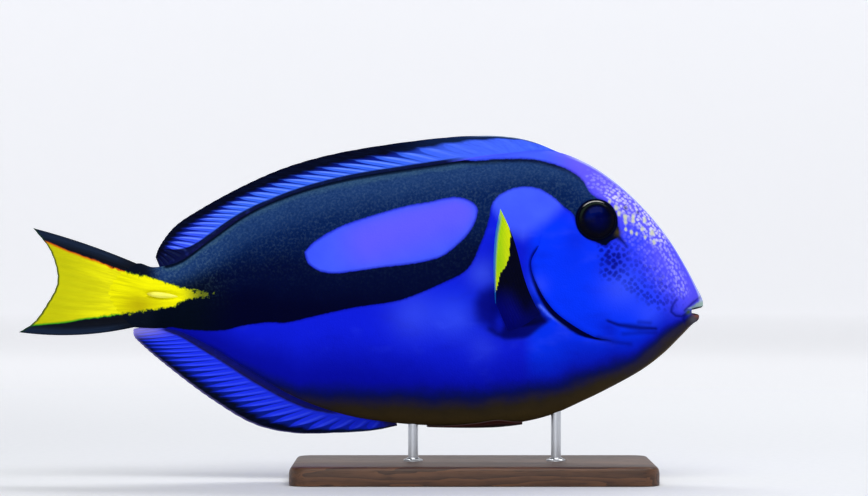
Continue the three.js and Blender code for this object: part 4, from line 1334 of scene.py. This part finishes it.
# In each table below, the light colour after the sheath is a painted highlight along the bands.
DORSAL_SHADES = {
    "band": colour(56, 104, 244), "front": colour(66, 102, 246), "sheath": colour(80, 84, 248),
    "shine": colour(118, 152, 252), "edge": colour(170, 190, 215), "foot": (FIN_MARGIN, FIN_MARGIN),
}
ANAL_SHADES = {
    "band": colour(28, 50, 240), "front": colour(12, 26, 204), "sheath": colour(32, 44, 242),
    "shine": colour(62, 88, 255), "edge": colour(150, 142, 226),
    "foot": (colour(10, 15, 104), colour(26, 22, 40)),
}


def streaked_finish(name, shades, band_width, taper):
    """Light bands over the rays and dark wedges between them. With t the opening, a band reaches
    band_width - 0.03 t - 0.4 t^taper of the space to each side of its ray. A painted highlight lies along
    each band's upper side and along the joint above the sheath, and the bands' tips fade."""
    fin_of = Finish(name, roughness=0.45, specular_ior_level=0.02)
    field = fin_of.field
    ray, reach, opening = field("ray"), field("reach"), field("opening")
    soft, fibres = fin_of.noise(2.2, 2.0), streaks(fin_of, ray, reach)
    side = (ray + 0.5).fraction()
    gap = abs(side - 0.5)
    forward, foot = field("forward"), field("foot")
    calm = 1 - forward
    # A painted highlight along each band's upper side.
    glow = (1 - abs((side - 0.36) / 0.2)).most(0.0) * opening.step(0.02, 0.25) * opening.step(1.05, 0.7)
    bands = fin_of.layers(
        shades["band"],
        (shades["front"], forward),
        (FIN_STREAK, (fibres - 0.42).most(0.0) * (0.7 - 0.1 * calm)),
        (FIN_VIOLET, field("rear") * 0.6),
        (shades["shine"], glow * 0.7 * (0.1 + 0.9 * calm)),
        (FIN_STREAK, opening.step(0.7, 1.1) * 0.5 * calm),
    )
    # A painted highlight along the joint above the sheath.
    joint = (1 - abs((reach - SHEATH_END) / 0.035)).most(0.0) * calm
    width = band_width - opening * 0.03 - opening**taper * 0.4 + (fibres - 0.5) * 0.1
    wedge = (gap - width).step(-0.06, 0.06) * opening.step(0.02, 0.35)
    margin = field("margin") + (soft - 0.5) * 0.06 + (gap - 0.25) * 0.1
    margin_ink = fin_of.blend(FIN_MARGIN, FIN_INK, (forward * 0.9 + (fibres - 0.45).most(0.0)).least(1.0))
    foot_ink = fin_of.blend(*shades["foot"], field("foot_low"))
    tint = fin_of.layers(
        fin_of.blend(shades["sheath"], bands, reach.step(SHEATH_END - 0.06, SHEATH_END)),
        (shades["shine"], joint * 0.2),
        (FIN_STREAK, wedge * (0.06 + 0.94 * calm)),
        (margin_ink, margin.step(-0.07, 0.06)),
        (shades["edge"], field("haze")),
        (foot_ink, (foot + (soft - 0.5) * 0.5 * foot).least(0.96)),
    )
    fin_of.set(base_color=tint)
    fin_of.bump(fibres * 0.6 + soft * 0.4, 0.08, 0.5)
    return fin_of.material


MIDLINE_FINS = {
    "dorsal": (DORSAL, back_at, DORSAL_SHADES, 0.455, 4.5),
    "anal": (ANAL, belly_at, ANAL_SHADES, 0.48, 3.0),
}
for name, (fin, root_line, fin_shades, band_width, taper) in MIDLINE_FINS.items():
    grid, fields = midline_sheet(fin, root_line)
    fields = midline_fields(fin, grid, fields, root_line)
    finish = streaked_finish(f"{name}_membrane", fin_shades, band_width, taper)
    make_piece(name, grid, finish, (f"{name}_fin",), "zip", fields=fields)

# %% [markdown]
# ## Tail fin
# The tail's rays fan out from the end of the stalk, and branch on the way, so the outer half shows twice
# as many. The yellow wedge of the skin runs on over the fin, with a black border above and below and a
# thin dark trailing edge.

# %% Tail fin
CAUDAL_FLESH, CAUDAL_BOW = 1.0, (0.9, -2.2)
CAUDAL_EDGE = [(-105.2, 80.7), (-99.6, 73.2), (-97.4, 63.5), (-100.9, 56.0), (-105.0, 50.4), (-109.7, 47.3)]
GOLD_OUTER, GOLD_GAP = colour(182, 183, 3), colour(200, 190, 0)
FRINGE_ABOVE, FRINGE_BELOW, TRAILING = colour(206, 84, 4), colour(40, 150, 20), colour(20, 52, 22)
# The second colour of the next line is painted sheen on the black borders.
LOBE_INK, LOBE_SHEEN = colour(4, 8, 20), colour(28, 46, 74)


def caudal_sheet():
    """Rays run from the stalk to the hollow trailing edge. The outermost bow outwards, and the flesh at
    the root thins by the fourth power of the way left to go."""
    edge = curve_through(CAUDAL_EDGE)

    def middle(s, r):
        root_z = mix(CAUDAL_ROOT["top"], CAUDAL_ROOT["bottom"], s)
        tip = edge(s[:, 0])[:, None]
        z = mix(root_z, tip[..., 1], r) + mix(*CAUDAL_BOW, s) * 4 * r * (1 - r)
        y = 0.5 * r**2 * np.sin(5.0 * s + 0.6)
        return np.stack(np.broadcast_arrays(mix(CAUDAL_ROOT["x"], tip[..., 0], r), y, z), -1)

    def half(s, r):
        return 0.2 + CAUDAL_FLESH * (1 - r) ** 4 * np.sqrt(1 - (2 * s - 1) ** 4)

    return sheet(middle, half, TAIL_RAYS, 0.13, per_ray=12, reaches=70, scallop=0.004, across=SIDEWAYS)


def caudal_finish():
    fin_of = Finish("tail_membrane", roughness=0.48, specular_ior_level=0.05)
    field = fin_of.field
    ray, reach = field("ray"), field("reach")
    fibres = streaks(fin_of, ray, reach, 4.0, 3.0)
    gap = abs((ray + 0.5).fraction() - 0.5)
    branch = abs((ray * 2.0 + 0.5).fraction() - 0.5) * reach.step(0.45, 0.7)
    teeth = (fin_of.noise(1.5, 2.0) - 0.5) * 2.2 * field("rough")
    teeth = field("yellow") + teeth + (fin_of.noise(3.5, 2.0) - 0.5) * 0.4
    gold = fin_of.layers(
        gold_streaks(fin_of, ray, reach),
        (GOLD_OUTER, reach.step(0.3, 0.95) * 0.85),
        (GOLD_GAP, gap.step(0.25, 0.5) * 0.16 + branch.step(0.2, 0.5) * 0.12),
    )
    fringe = fin_of.blend(FRINGE_ABOVE, FRINGE_BELOW, field("lower"))
    tint = fin_of.layers(
        LOBE_INK,
        # Painted sheen in streaks along the black borders.
        (LOBE_SHEEN, field("sheen") * (0.1 + fibres * 0.8)),
        (fin_of.blend(fringe, gold, teeth.step(0.0, 0.9)), teeth.step(-0.2, 0.2)),
        (TRAILING, reach.step(0.972, 0.988) * 0.85),
    )
    fin_of.set(base_color=tint)
    fin_of.bump(fibres * 0.6 + (gap + branch) * 0.8, 0.1, 0.5)
    return fin_of.material


grid, fields = caudal_sheet()
share = fields["ray"] / (TAIL_RAYS - 1)
fields |= {
    "yellow": depth_inside(grid[..., 0], grid[..., 2], WEDGE),
    # Where the painted sheen lies: along the top and bottom rays.
    "sheen": (bell(share - 0.05, 0.06) + bell(share - 0.95, 0.05)) * step(fields["reach"], 0.1, 0.4),
    "rough": step(fields["reach"], 0.75, 0.3),
    "lower": step(share, 0.45, 0.55),
}
make_piece("caudal", grid, caudal_finish(), ("caudal_fin",), "zip", fields=fields)

# %% [markdown]
# ## Pectoral fins
# The fish rows with its pectoral fins. In the photograph they are raised, seen almost edge-on: a black
# leading edge and base, a yellow outer part with a ragged lower border, and a blue-green trailing rim.

# %% Pectoral fins
PECTORAL = {
    "rays": 15, "curl": 0.8, "back": 0.5, "camber": 1.2, "root": FIN_FOOT,
    "edge": [(44.0, 32.5, 86.4), (42.6, 33.2, 79.8), (42.0, 33.0, 73.2), (41.9, 31.4, 67.5),
             (42.2, 27.8, 62.0), (42.6, 22.5, 57.3)],
}
ROOT_OUT = 12.5
YELLOW_BLADE = [(43.7, 88.2), (46.3, 83.7), (47.0, 80.8), (47.2, 77.8), (46.8, 71.6), (45.8, 68.6),
                (44.0, 66.4), (43.4, 63.4), (42.7, 60.6), (40.0, 59.0), (38.0, 70.0), (40.0, 88.0)]
BLADE_GOLD, BLADE_LIME, BLADE_GAP = colour(212, 228, 14), colour(140, 200, 12), colour(120, 170, 10)
BLADE_INK, BLADE_NAVY, BLADE_RIM = colour(1, 2, 22), colour(4, 7, 118), colour(14, 96, 190)


def pectoral_sheet():
    """Rays run from the root on the flank to an edge that stands well out from the body. The root's line
    is brought back from where the camera sees it, ROOT_OUT nearer than the mid-plane. The leading rays
    bend back, and the whole blade bellies outwards."""
    root, edge = curve_through(PECTORAL["root"]), curve_through(PECTORAL["edge"])

    def middle(s, r):
        start, tip = root(s[:, 0])[:, None], edge(s[:, 0])[:, None]
        start = np.array(VIEW_CENTRE) + (start - VIEW_CENTRE) / (1 + ROOT_OUT / DISTANCE)
        root_y = flank_at(start[..., 0], start[..., 1]) - ROOT_DEPTH
        bend = PECTORAL["curl"] * np.sin(2 * np.pi * r) + PECTORAL["back"] * np.sin(np.pi * r)
        x = mix(start[..., 0], tip[..., 0], r) - bend * (1 - s)
        y = mix(root_y, tip[..., 1], r) + PECTORAL["camber"] * np.sin(np.pi * r)
        return np.stack(np.broadcast_arrays(x, y, mix(start[..., 1], tip[..., 2], r)), -1)

    def half(s, r):
        return mix(0.19, 0.7, np.clip(1 - r / 0.5, 0, 1) ** 1.4)

    return sheet(middle, half, PECTORAL["rays"], 0.1, per_ray=10, reaches=70, scallop=0.003)


def pectoral_finish():
    fin_of = Finish("pectoral_membrane", roughness=0.5, specular_ior_level=0.02)
    field = fin_of.field
    ray = field("ray")
    fibres = streaks(fin_of, ray, field("reach"), 3.0, 3.0)
    gap = abs((ray + 0.5).fraction() - 0.5)
    teeth = field("yellow") + (fibres - 0.5) * 0.8 + (gap - 0.25) * 0.6
    gold = fin_of.layers(
        BLADE_GOLD,
        (BLADE_LIME, field("lime") * 0.7 + fibres.step(0.4, 0.8) * 0.25),
        (BLADE_GAP, gap.step(0.34, 0.5) * 0.06),
    )
    tint = fin_of.layers(
        BLADE_INK,
        (BLADE_NAVY, (field("navy") * (0.55 + fibres * 0.7)).least(1.0)),
        (gold, teeth.step(-0.1, 0.12)),
        (BLADE_RIM, field("rim") * 0.95),
        # Painted shade carried onto the fin's base, the same as on the skin round its root.
        (ROOT_SHADE_BLUE, field("base") * (0.7 + fibres * 0.4)),
    )
    fin_of.set(base_color=tint)
    fin_of.bump(fibres * 0.5 + gap, 0.08, 0.5)
    return fin_of.material


grid, fields = pectoral_sheet()
share, reach = fields["ray"] / (PECTORAL["rays"] - 1), fields["reach"]
fields |= {
    "yellow": depth_inside(grid[..., 0], grid[..., 2], YELLOW_BLADE),
    "lime": step(grid[..., 0], 47.0, 43.6) * step(grid[..., 2], 62, 70),
    "navy": step(grid[..., 2], 64.0, 54.0) * mix(0.1, 1.0, step(share, 0.2, 0.6)),
    "rim": step(reach + 0.04 * share, 0.95, 1.0) * step(share, 0.0, 0.12),
    # Where the painted shade of the root runs onto the fin's base.
    "base": step(reach, 0.24, 0.07) * mix(0.45, 1.0, step(share, 0.05, 0.45)),
}
make_pair("pectoral", grid, pectoral_finish(), "pectoral_fin", fields)

# %% [markdown]
# ## Pelvic fins
# The small pelvic fins lie folded along the belly, nearly black with a red-brown flush and a pale lower
# edge.

# %% Pelvic fins
PELVIC = {"rays": 5, "front": 51.6, "rear": 21.0, "inner": 0.9, "widths": [[2.0], [4.0], [3.2], [1.9], [0.5]]}
PELVIC_INK, PELVIC_DUSK = colour(6, 10, 24), colour(22, 18, 30)
PELVIC_FLUSH, PELVIC_RIM = colour(66, 26, 20), colour(110, 122, 118)


def pelvic_sheet():
    """A narrow blade that follows the underside of the belly, its width given at five even places."""

    def middle(s, r):
        x = mix(PELVIC["front"], PELVIC["rear"], r)
        y = PELVIC["inner"] + s * along(PELVIC["widths"], r[0])[None, :, 0]
        x, y = np.broadcast_arrays(x, y)
        return np.stack([x, y, belly_at(x, y) - 0.42 - 0.25 * np.sin(np.pi * r) * s], -1)

    return sheet(middle, lambda s, r: mix(0.2, 0.34, (1 - r) ** 2) + 0 * s, PELVIC["rays"], 0.12, per_ray=10,
                 reaches=60)


def pelvic_finish():
    fin_of = Finish("pelvic_membrane", roughness=0.5, specular_ior_level=0.1)
    field = fin_of.field
    soft = fin_of.noise(2.0, 3.0)
    gap = abs((field("ray") + 0.5).fraction() - 0.5)
    fin_of.set(base_color=fin_of.layers(
        PELVIC_INK,
        (PELVIC_DUSK, soft),
        (PELVIC_FLUSH, field("flush") * (0.3 + soft * 0.9)),
        (PELVIC_RIM, gap.step(0.2, 0.0) * 0.12 + field("rim") * 0.6),
    ))
    fin_of.bump(soft * 0.5 + gap, 0.08, 0.4)
    return fin_of.material


grid, fields = pelvic_sheet()
share = fields["ray"] / (PELVIC["rays"] - 1)
fields |= {"rim": step(share, 0.16, 0.04), "flush": step(share, 0.35, 0.8)}
make_pair("pelvic", grid, pelvic_finish(), "pelvic_fin", fields)

# %% [markdown]
# ## Eyes
# The eye is a flattened ball, almost all pupil: deep blue in the middle with painted light on its upper
# part, then dark brown, with a dull green gleam painted in the upper ring. A thin clear coat makes it wet.
# A separate soft rim closes the gap between the ball and the skin, and a pale arc on its top is a painted
# highlight.

# %% Eyes
# The third colour of the next line is painted light on the pupil's upper part.
PUPIL, PUPIL_EDGE, PUPIL_LIT = colour(1, 4, 58), colour(1, 3, 26), colour(1, 18, 100)
# The second colour of the next line is a painted gleam in the iris's upper ring.
IRIS, IRIS_GLEAM, EYE_EDGE = colour(10, 9, 14), colour(36, 50, 38), colour(1, 2, 8)
# The third colour of the next line is a painted highlight on the rim's top.
RIM_INK, RIM_DUSK, RIM_HIGHLIGHT = colour(1, 3, 14), colour(4, 9, 28), colour(200, 198, 192)


def full_turn(count):
    """Angles round a circle, without the last one, which is the first again."""
    return np.linspace(0, 2 * np.pi, count, endpoint=False)


def eyeball_grid(side):
    """Rings from the front pole to the back one: across by the sine and outwards by the cosine."""
    middle, look, ahead, up = eye_frame(side)
    polar = np.linspace(0.015, np.pi - 0.015, 72)[:, None, None]
    turn = full_turn(96)[None, :, None]
    across = ahead * np.cos(turn) + up * np.sin(turn)
    grid = middle + EYE["radius"] * np.sin(polar) * across + EYE["depth"] * np.cos(polar) * look
    return grid, {"out": np.sin(polar[..., 0]), "upward": np.sin(turn[..., 0] - 0.5)}


def rim_grid(side):
    """A thin ring round the eyeball, a little flattened."""
    middle, look, ahead, up = eye_frame(side)
    turn, tube = full_turn(120)[:, None, None], full_turn(16)[None, :, None]
    across = ahead * np.cos(turn) + up * np.sin(turn)
    radius = RIM_RADIUS + RIM_THICK * np.cos(tube)
    grid = middle + across * radius + look * (RIM_HEIGHT + 0.8 * RIM_THICK * np.sin(tube))
    return grid, {"upward": np.sin(turn[..., 0] - 0.2), "inward": -np.cos(tube[..., 0])}


def eye_finish():
    eye_of = Finish("eye", roughness=0.12, specular_ior_level=0.0, coat_weight=0.03, coat_roughness=0.03)
    out, upward = eye_of.field("out"), eye_of.field("upward")
    fibres = eye_of.noise(0.5, 3.0)
    # Painted light on the pupil's upper part, and a painted gleam in the upper ring.
    lit = upward.step(0.1, 0.9) * out.step(0.05, 0.4) * out.step(0.72, 0.5)
    gleam = out.step(0.72, 0.8) * out.step(0.88, 0.82) * upward.step(0.2, 0.95)
    eye_of.set(base_color=eye_of.layers(
        PUPIL,
        (PUPIL_EDGE, out.step(0.1, 0.7)),
        (PUPIL_LIT, lit * 0.5),
        (IRIS, out.step(0.56, 0.78) * (0.3 + fibres * 0.8)),
        (IRIS_GLEAM, gleam * (0.3 + fibres * 0.5)),
        (EYE_EDGE, out.step(0.87, 0.9)),
    ))
    return eye_of.material


def rim_finish():
    rim_of = Finish("eye_rim", roughness=0.5, specular_ior_level=0.02)
    # A painted highlight arc along the top of the rim.
    arc = rim_of.field("upward").step(0.78, 0.97) * rim_of.field("inward").step(-0.6, 0.2)
    grain = rim_of.noise(0.5, 2.0)
    rim_of.set(base_color=rim_of.layers(RIM_INK, (RIM_DUSK, grain), (RIM_HIGHLIGHT, arc * 0.9)))
    rim_of.bump(grain, 0.05, 0.3)
    return rim_of.material


ball_finish, soft_rim_finish = eye_finish(), rim_finish()
for name, side in SIDES.items():
    grid, fields = eyeball_grid(side)
    make_piece(f"eyeball_{name}", grid, ball_finish, (f"eye_{name}",), fields=fields)
    grid, fields = rim_grid(side)
    make_piece(f"eye_rim_{name}", grid, soft_rim_finish, ends="ring", fields=fields)

# %% [markdown]
# ## Tail spines
# Surgeonfish carry a folding blade on each side of the tail stalk. It lies in its slot, hinged behind
# with the point in front, and is the palest yellow on the fish.

# %% Tail spines
SPINE_PALE, SPINE_GOLD, SPINE_HINGE = colour(250, 247, 96), colour(234, 229, 60), colour(214, 204, 40)


def spine_grid(side):
    """A spindle whose thickness goes by sin(pi t^0.75)^0.8, blunt at the hinge and drawn out in front."""
    share = np.linspace(0.004, 0.996, 70)[:, None]
    turn = full_turn(36)[None]
    swell = np.sin(np.pi * share**0.75) ** 0.8 / 2
    x = (share - 0.5) * SPINE["length"] + 0 * turn
    z = swell * SPINE["height"] * np.sin(turn) + SPINE["tilt"] * x
    y = swell * SPINE["thickness"] * np.cos(turn) + flank_at(SPINE["x"], SPINE["z"]) - 0.25
    grid = np.stack([SPINE["x"] + x, side * y, SPINE["z"] + z], -1)
    return grid, {"length": np.broadcast_to(share, x.shape)}


def spine_finish():
    spine_of = Finish("tail_spine", roughness=0.32, specular_ior_level=0.4)
    streak = spine_of.noise(0.6, 3.0, spine_of.stretched(0.2, 1.0, 1.0))
    hinge = spine_of.field("length").step(0.25, 0.0)
    spine_of.set(base_color=spine_of.layers(SPINE_PALE, (SPINE_GOLD, streak), (SPINE_HINGE, hinge)))
    spine_of.bump(streak, 0.04, 0.3)
    return spine_of.material


finish = spine_finish()
for name, side in SIDES.items():
    grid, fields = spine_grid(side)
    make_piece(f"spine_{name}", grid, finish, (f"tail_spine_{name}",), fields=fields)

# %% [markdown]
# ## Stand
# A plain museum stand: a dark oiled walnut plate with a rounded upper edge, and two brushed steel rods
# that go up into the belly. Each rod has a small turned collar where it enters the wood.

# %% Wooden base
BASE = {"x": 36.0, "length": 116.0, "width": 60.0, "height": 6.0, "corner": 6.0}
EDGE_PROFILE = [(1.2, 0.0), (0.5, 0.0), (0.12, 0.14), (0.0, 0.5), (0.0, 3.9), (0.1, 4.35)]
ROUND_OVER, ROUND_FROM, TOP_INSET = 1.6, 4.4, 8.0
CORNER_POINTS, LEAST_RADIUS = 9, 0.5
SHARP_FROM = 40
WALNUT_DARK, WALNUT_LIGHT, WALNUT_PORE = colour(58, 36, 22), colour(96, 62, 38), colour(34, 20, 12)


def base_grid():
    """A rounded rectangle, drawn in by the edge profile's inset at each height: rows go up the edge."""
    arc = np.linspace(0, np.pi / 2, 7)
    rounding = [(0.1 + ROUND_OVER * (1 - np.cos(a)), ROUND_FROM + ROUND_OVER * np.sin(a)) for a in arc]
    inset, level = np.array(EDGE_PROFILE + rounding + [(TOP_INSET, BASE["height"])]).T
    corner = np.linspace(0, np.pi / 2, CORNER_POINTS)
    turn = np.concatenate([corner + quarter * np.pi / 2 for quarter in range(4)])
    across = np.repeat([1, -1, -1, 1], CORNER_POINTS)
    along_y = np.repeat([1, 1, -1, -1], CORNER_POINTS)
    radius = BASE["corner"] - np.minimum(inset, BASE["corner"] - LEAST_RADIUS)[:, None]
    x = BASE["x"] + across * (BASE["length"] / 2 - inset[:, None] - radius) + radius * np.cos(turn)
    y = along_y * (BASE["width"] / 2 - inset[:, None] - radius) + radius * np.sin(turn)
    return np.stack(np.broadcast_arrays(x, y, level[:, None]), -1)


def wood_finish():
    """Growth rings as a folded slow noise, and pores as a fine noise, both stretched along the plate."""
    wood_of = Finish("walnut", specular_ior_level=0.4)
    waves = wood_of.noise(90.0, 4.0, wood_of.stretched(1.0, 9.0, 9.0))
    fibre = wood_of.noise(6.0, 4.0, wood_of.stretched(1.0, 16.0, 16.0))
    rings = (waves * 9.0).fraction()
    tint = wood_of.layers(WALNUT_DARK, (WALNUT_LIGHT, rings), (WALNUT_PORE, fibre.step(0.5, 0.8) * 0.8))
    wood_of.set(base_color=tint, roughness=0.36 + fibre * 0.22)
    wood_of.bump(fibre, 0.12, 0.35)
    return wood_of.material


make_piece("base", base_grid(), wood_finish(), ("stand_base",), sharp=SHARP_FROM)

# %% Steel rods and collars
ROD_RADIUS, ROD_BEVEL = 1.6, 0.3
ROD_FOOT, ROD_RING, ROD_SINK = 2.6, 9.0, 1.2
ROD_PLACES = {"front": 62.5, "back": 16.7}
COLLAR = [(1.7, -0.4), (3.1, -0.4), (3.1, 0.35), (2.85, 0.6), (2.2, 0.75), (1.95, 1.1), (1.7, 1.15)]
STEEL_DARK, STEEL_LIGHT = colour(176, 180, 186), colour(206, 208, 212)


def turned(profile, x, sides=48):
    """A profile of (radius, height) turned round an upright line at x."""
    radius, level = np.array(profile).T[..., None]
    turn = full_turn(sides)
    return np.stack(np.broadcast_arrays(x + radius * np.cos(turn), radius * np.sin(turn), level), -1)


def steel_finish():
    """Brushing as noise drawn out along the rod."""
    steel_of = Finish("brushed_steel", metallic=1.0)
    brushed = steel_of.noise(0.5, 3.0, steel_of.stretched(1.0, 1.0, 0.06))
    steel_of.set(base_color=steel_of.blend(STEEL_DARK, STEEL_LIGHT, brushed), roughness=0.24 + brushed * 0.16)
    steel_of.bump(brushed, 0.02, 0.25)
    return steel_of.material


steel = steel_finish()
for name, place in ROD_PLACES.items():
    top = float(belly_at(place)) + ROD_SINK
    bevel = [(ROD_RADIUS, top - ROD_BEVEL), (ROD_RADIUS - ROD_BEVEL, top)]
    rod = turned([(ROD_RADIUS, ROD_FOOT), (ROD_RADIUS, ROD_RING), *bevel], place)
    make_piece(f"rod_{name}", rod, steel, (f"stand_rod_{name}",), sharp=SHARP_FROM)
    collar = turned([(radius, BASE["height"] + above) for radius, above in COLLAR], place)
    make_piece(f"collar_{name}", collar, steel, sharp=SHARP_FROM)

# %% [markdown]
# ## Floor
# A plain pale floor curves up all round the fish, far enough out for a camera on any side, and glows a
# little toward its rim, like a tent of lit paper.

# %% Floor
FLOOR_SINK = 0.05
COVE = {"floor": 2600.0, "radius": 700.0, "top": 1300.0, "sides": 96}
GLOW_FROM, GLOW_TO, GLOW = 0.2, 1.15, 0.52
PAPER_SHADE, PAPER_LIGHT = colour(214, 216, 220), colour(222, 223, 226)


def cove_grid():
    """A round level floor, a quarter circle and an upright wall, turned round the middle of the fish."""
    arc = np.linspace(0, np.pi / 2, 24)
    out = np.concatenate([[2.0, 400.0, 1200.0], COVE["floor"] + COVE["radius"] * np.sin(arc),
                          [COVE["floor"] + COVE["radius"]]])[:, None]
    z = np.concatenate([[0, 0, 0], COVE["radius"] * (1 - np.cos(arc)), [COVE["top"]]])[:, None] - FLOOR_SINK
    turn = full_turn(COVE["sides"])
    return np.stack(np.broadcast_arrays(out * np.cos(turn), out * np.sin(turn), z), -1)


def paper_finish():
    """Pale paper whose own light grows with the distance from the middle, in metres."""
    paper_of = Finish("paper", roughness=0.9, specular_ior_level=0.1, emission_strength=1.0)
    fibre = paper_of.noise(3.0, 3.0)
    out = paper_of.node("ShaderNodeVectorMath", {0: paper_of.place}, operation="LENGTH")["Value"]
    glow = paper_of.blend(colour(0, 0, 0), (GLOW, GLOW, GLOW * 1.03, 1.0), out.step(GLOW_FROM, GLOW_TO))
    paper_of.set(base_color=paper_of.blend(PAPER_SHADE, PAPER_LIGHT, fibre), emission_color=glow)
    return paper_of.material


def stage_sheet():
    """The cove's faces and one many-sided face in the middle, marked as stage."""
    grid = cove_grid()
    mesh = bpy.data.meshes.new("floor")
    faces = grid_faces(*grid.shape[:2])
    middle = np.arange(COVE["sides"])[None]
    mesh.from_pydata((grid.reshape(-1, 3) * MM).tolist(), [], faces.tolist() + middle.tolist())
    mesh.shade_smooth()
    mesh.materials.append(paper_finish())
    floor = bpy.data.objects.new("floor", mesh)
    bpy.context.scene.collection.objects.link(floor)
    floor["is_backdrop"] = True


stage_sheet()
print("floor out to", COVE["floor"] + COVE["radius"], "mm")

# %% [markdown]
# ## Light
# One large soft light hangs above and a little in front, a weaker one fills in from the camera's side,
# and a narrow one behind draws a pale line along the back and the forehead. The colours are shown
# without a film look, because that would grey this pure blue.

# %% Light
AIM = (0.02, 0.0, 0.06)
LIGHTS = {
    "key": ((0.15, -0.42, 0.85), (0.9, 0.5), 5.65),
    "fill": ((-0.25, -1.3, 0.45), (1.0, 0.8), 3.4),
    "back": ((0.15, 0.45, 0.75), (0.9, 0.2), 4.5),
}
WORLD_TINT, WORLD_STRENGTH = colour(236, 240, 246), 0.25


def soft_light(name, place, size, watts):
    """A rectangle of light that faces the fish."""
    lamp = bpy.data.lights.new(name, "AREA")
    lamp.shape = "RECTANGLE"
    lamp.size, lamp.size_y = size
    lamp.energy = watts
    light = bpy.data.objects.new(name, lamp)
    light.location = place
    away = Vector(place) - Vector(AIM)
    light.rotation_euler = away.to_track_quat("Z", "Y").to_euler()
    light.visible_camera = False
    bpy.context.scene.collection.objects.link(light)


for name, (place, size, watts) in LIGHTS.items():
    soft_light(name, place, size, watts)
world = bpy.data.worlds.new("studio")
bpy.context.scene.world = world
world.use_nodes = True
backdrop = world.node_tree.nodes["Background"]
backdrop.inputs["Color"].default_value = WORLD_TINT
backdrop.inputs["Strength"].default_value = WORLD_STRENGTH
bpy.context.scene.view_settings.view_transform = "Standard"
bpy.context.scene.view_settings.look = "None"
print("lights", len(LIGHTS), "with", sum(watts for _, _, watts in LIGHTS.values()), "W in all")

# %% [markdown]
# ## Sizes
# The boxes of the imported model and of the dressed one are printed side by side.

# %% Sizes
corners = lambda box: [list(corner) for corner in box]
{"cad": corners(CAD_BOX), "visual": corners(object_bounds())}
print("boxes", corners(CAD_BOX), corners(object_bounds()))
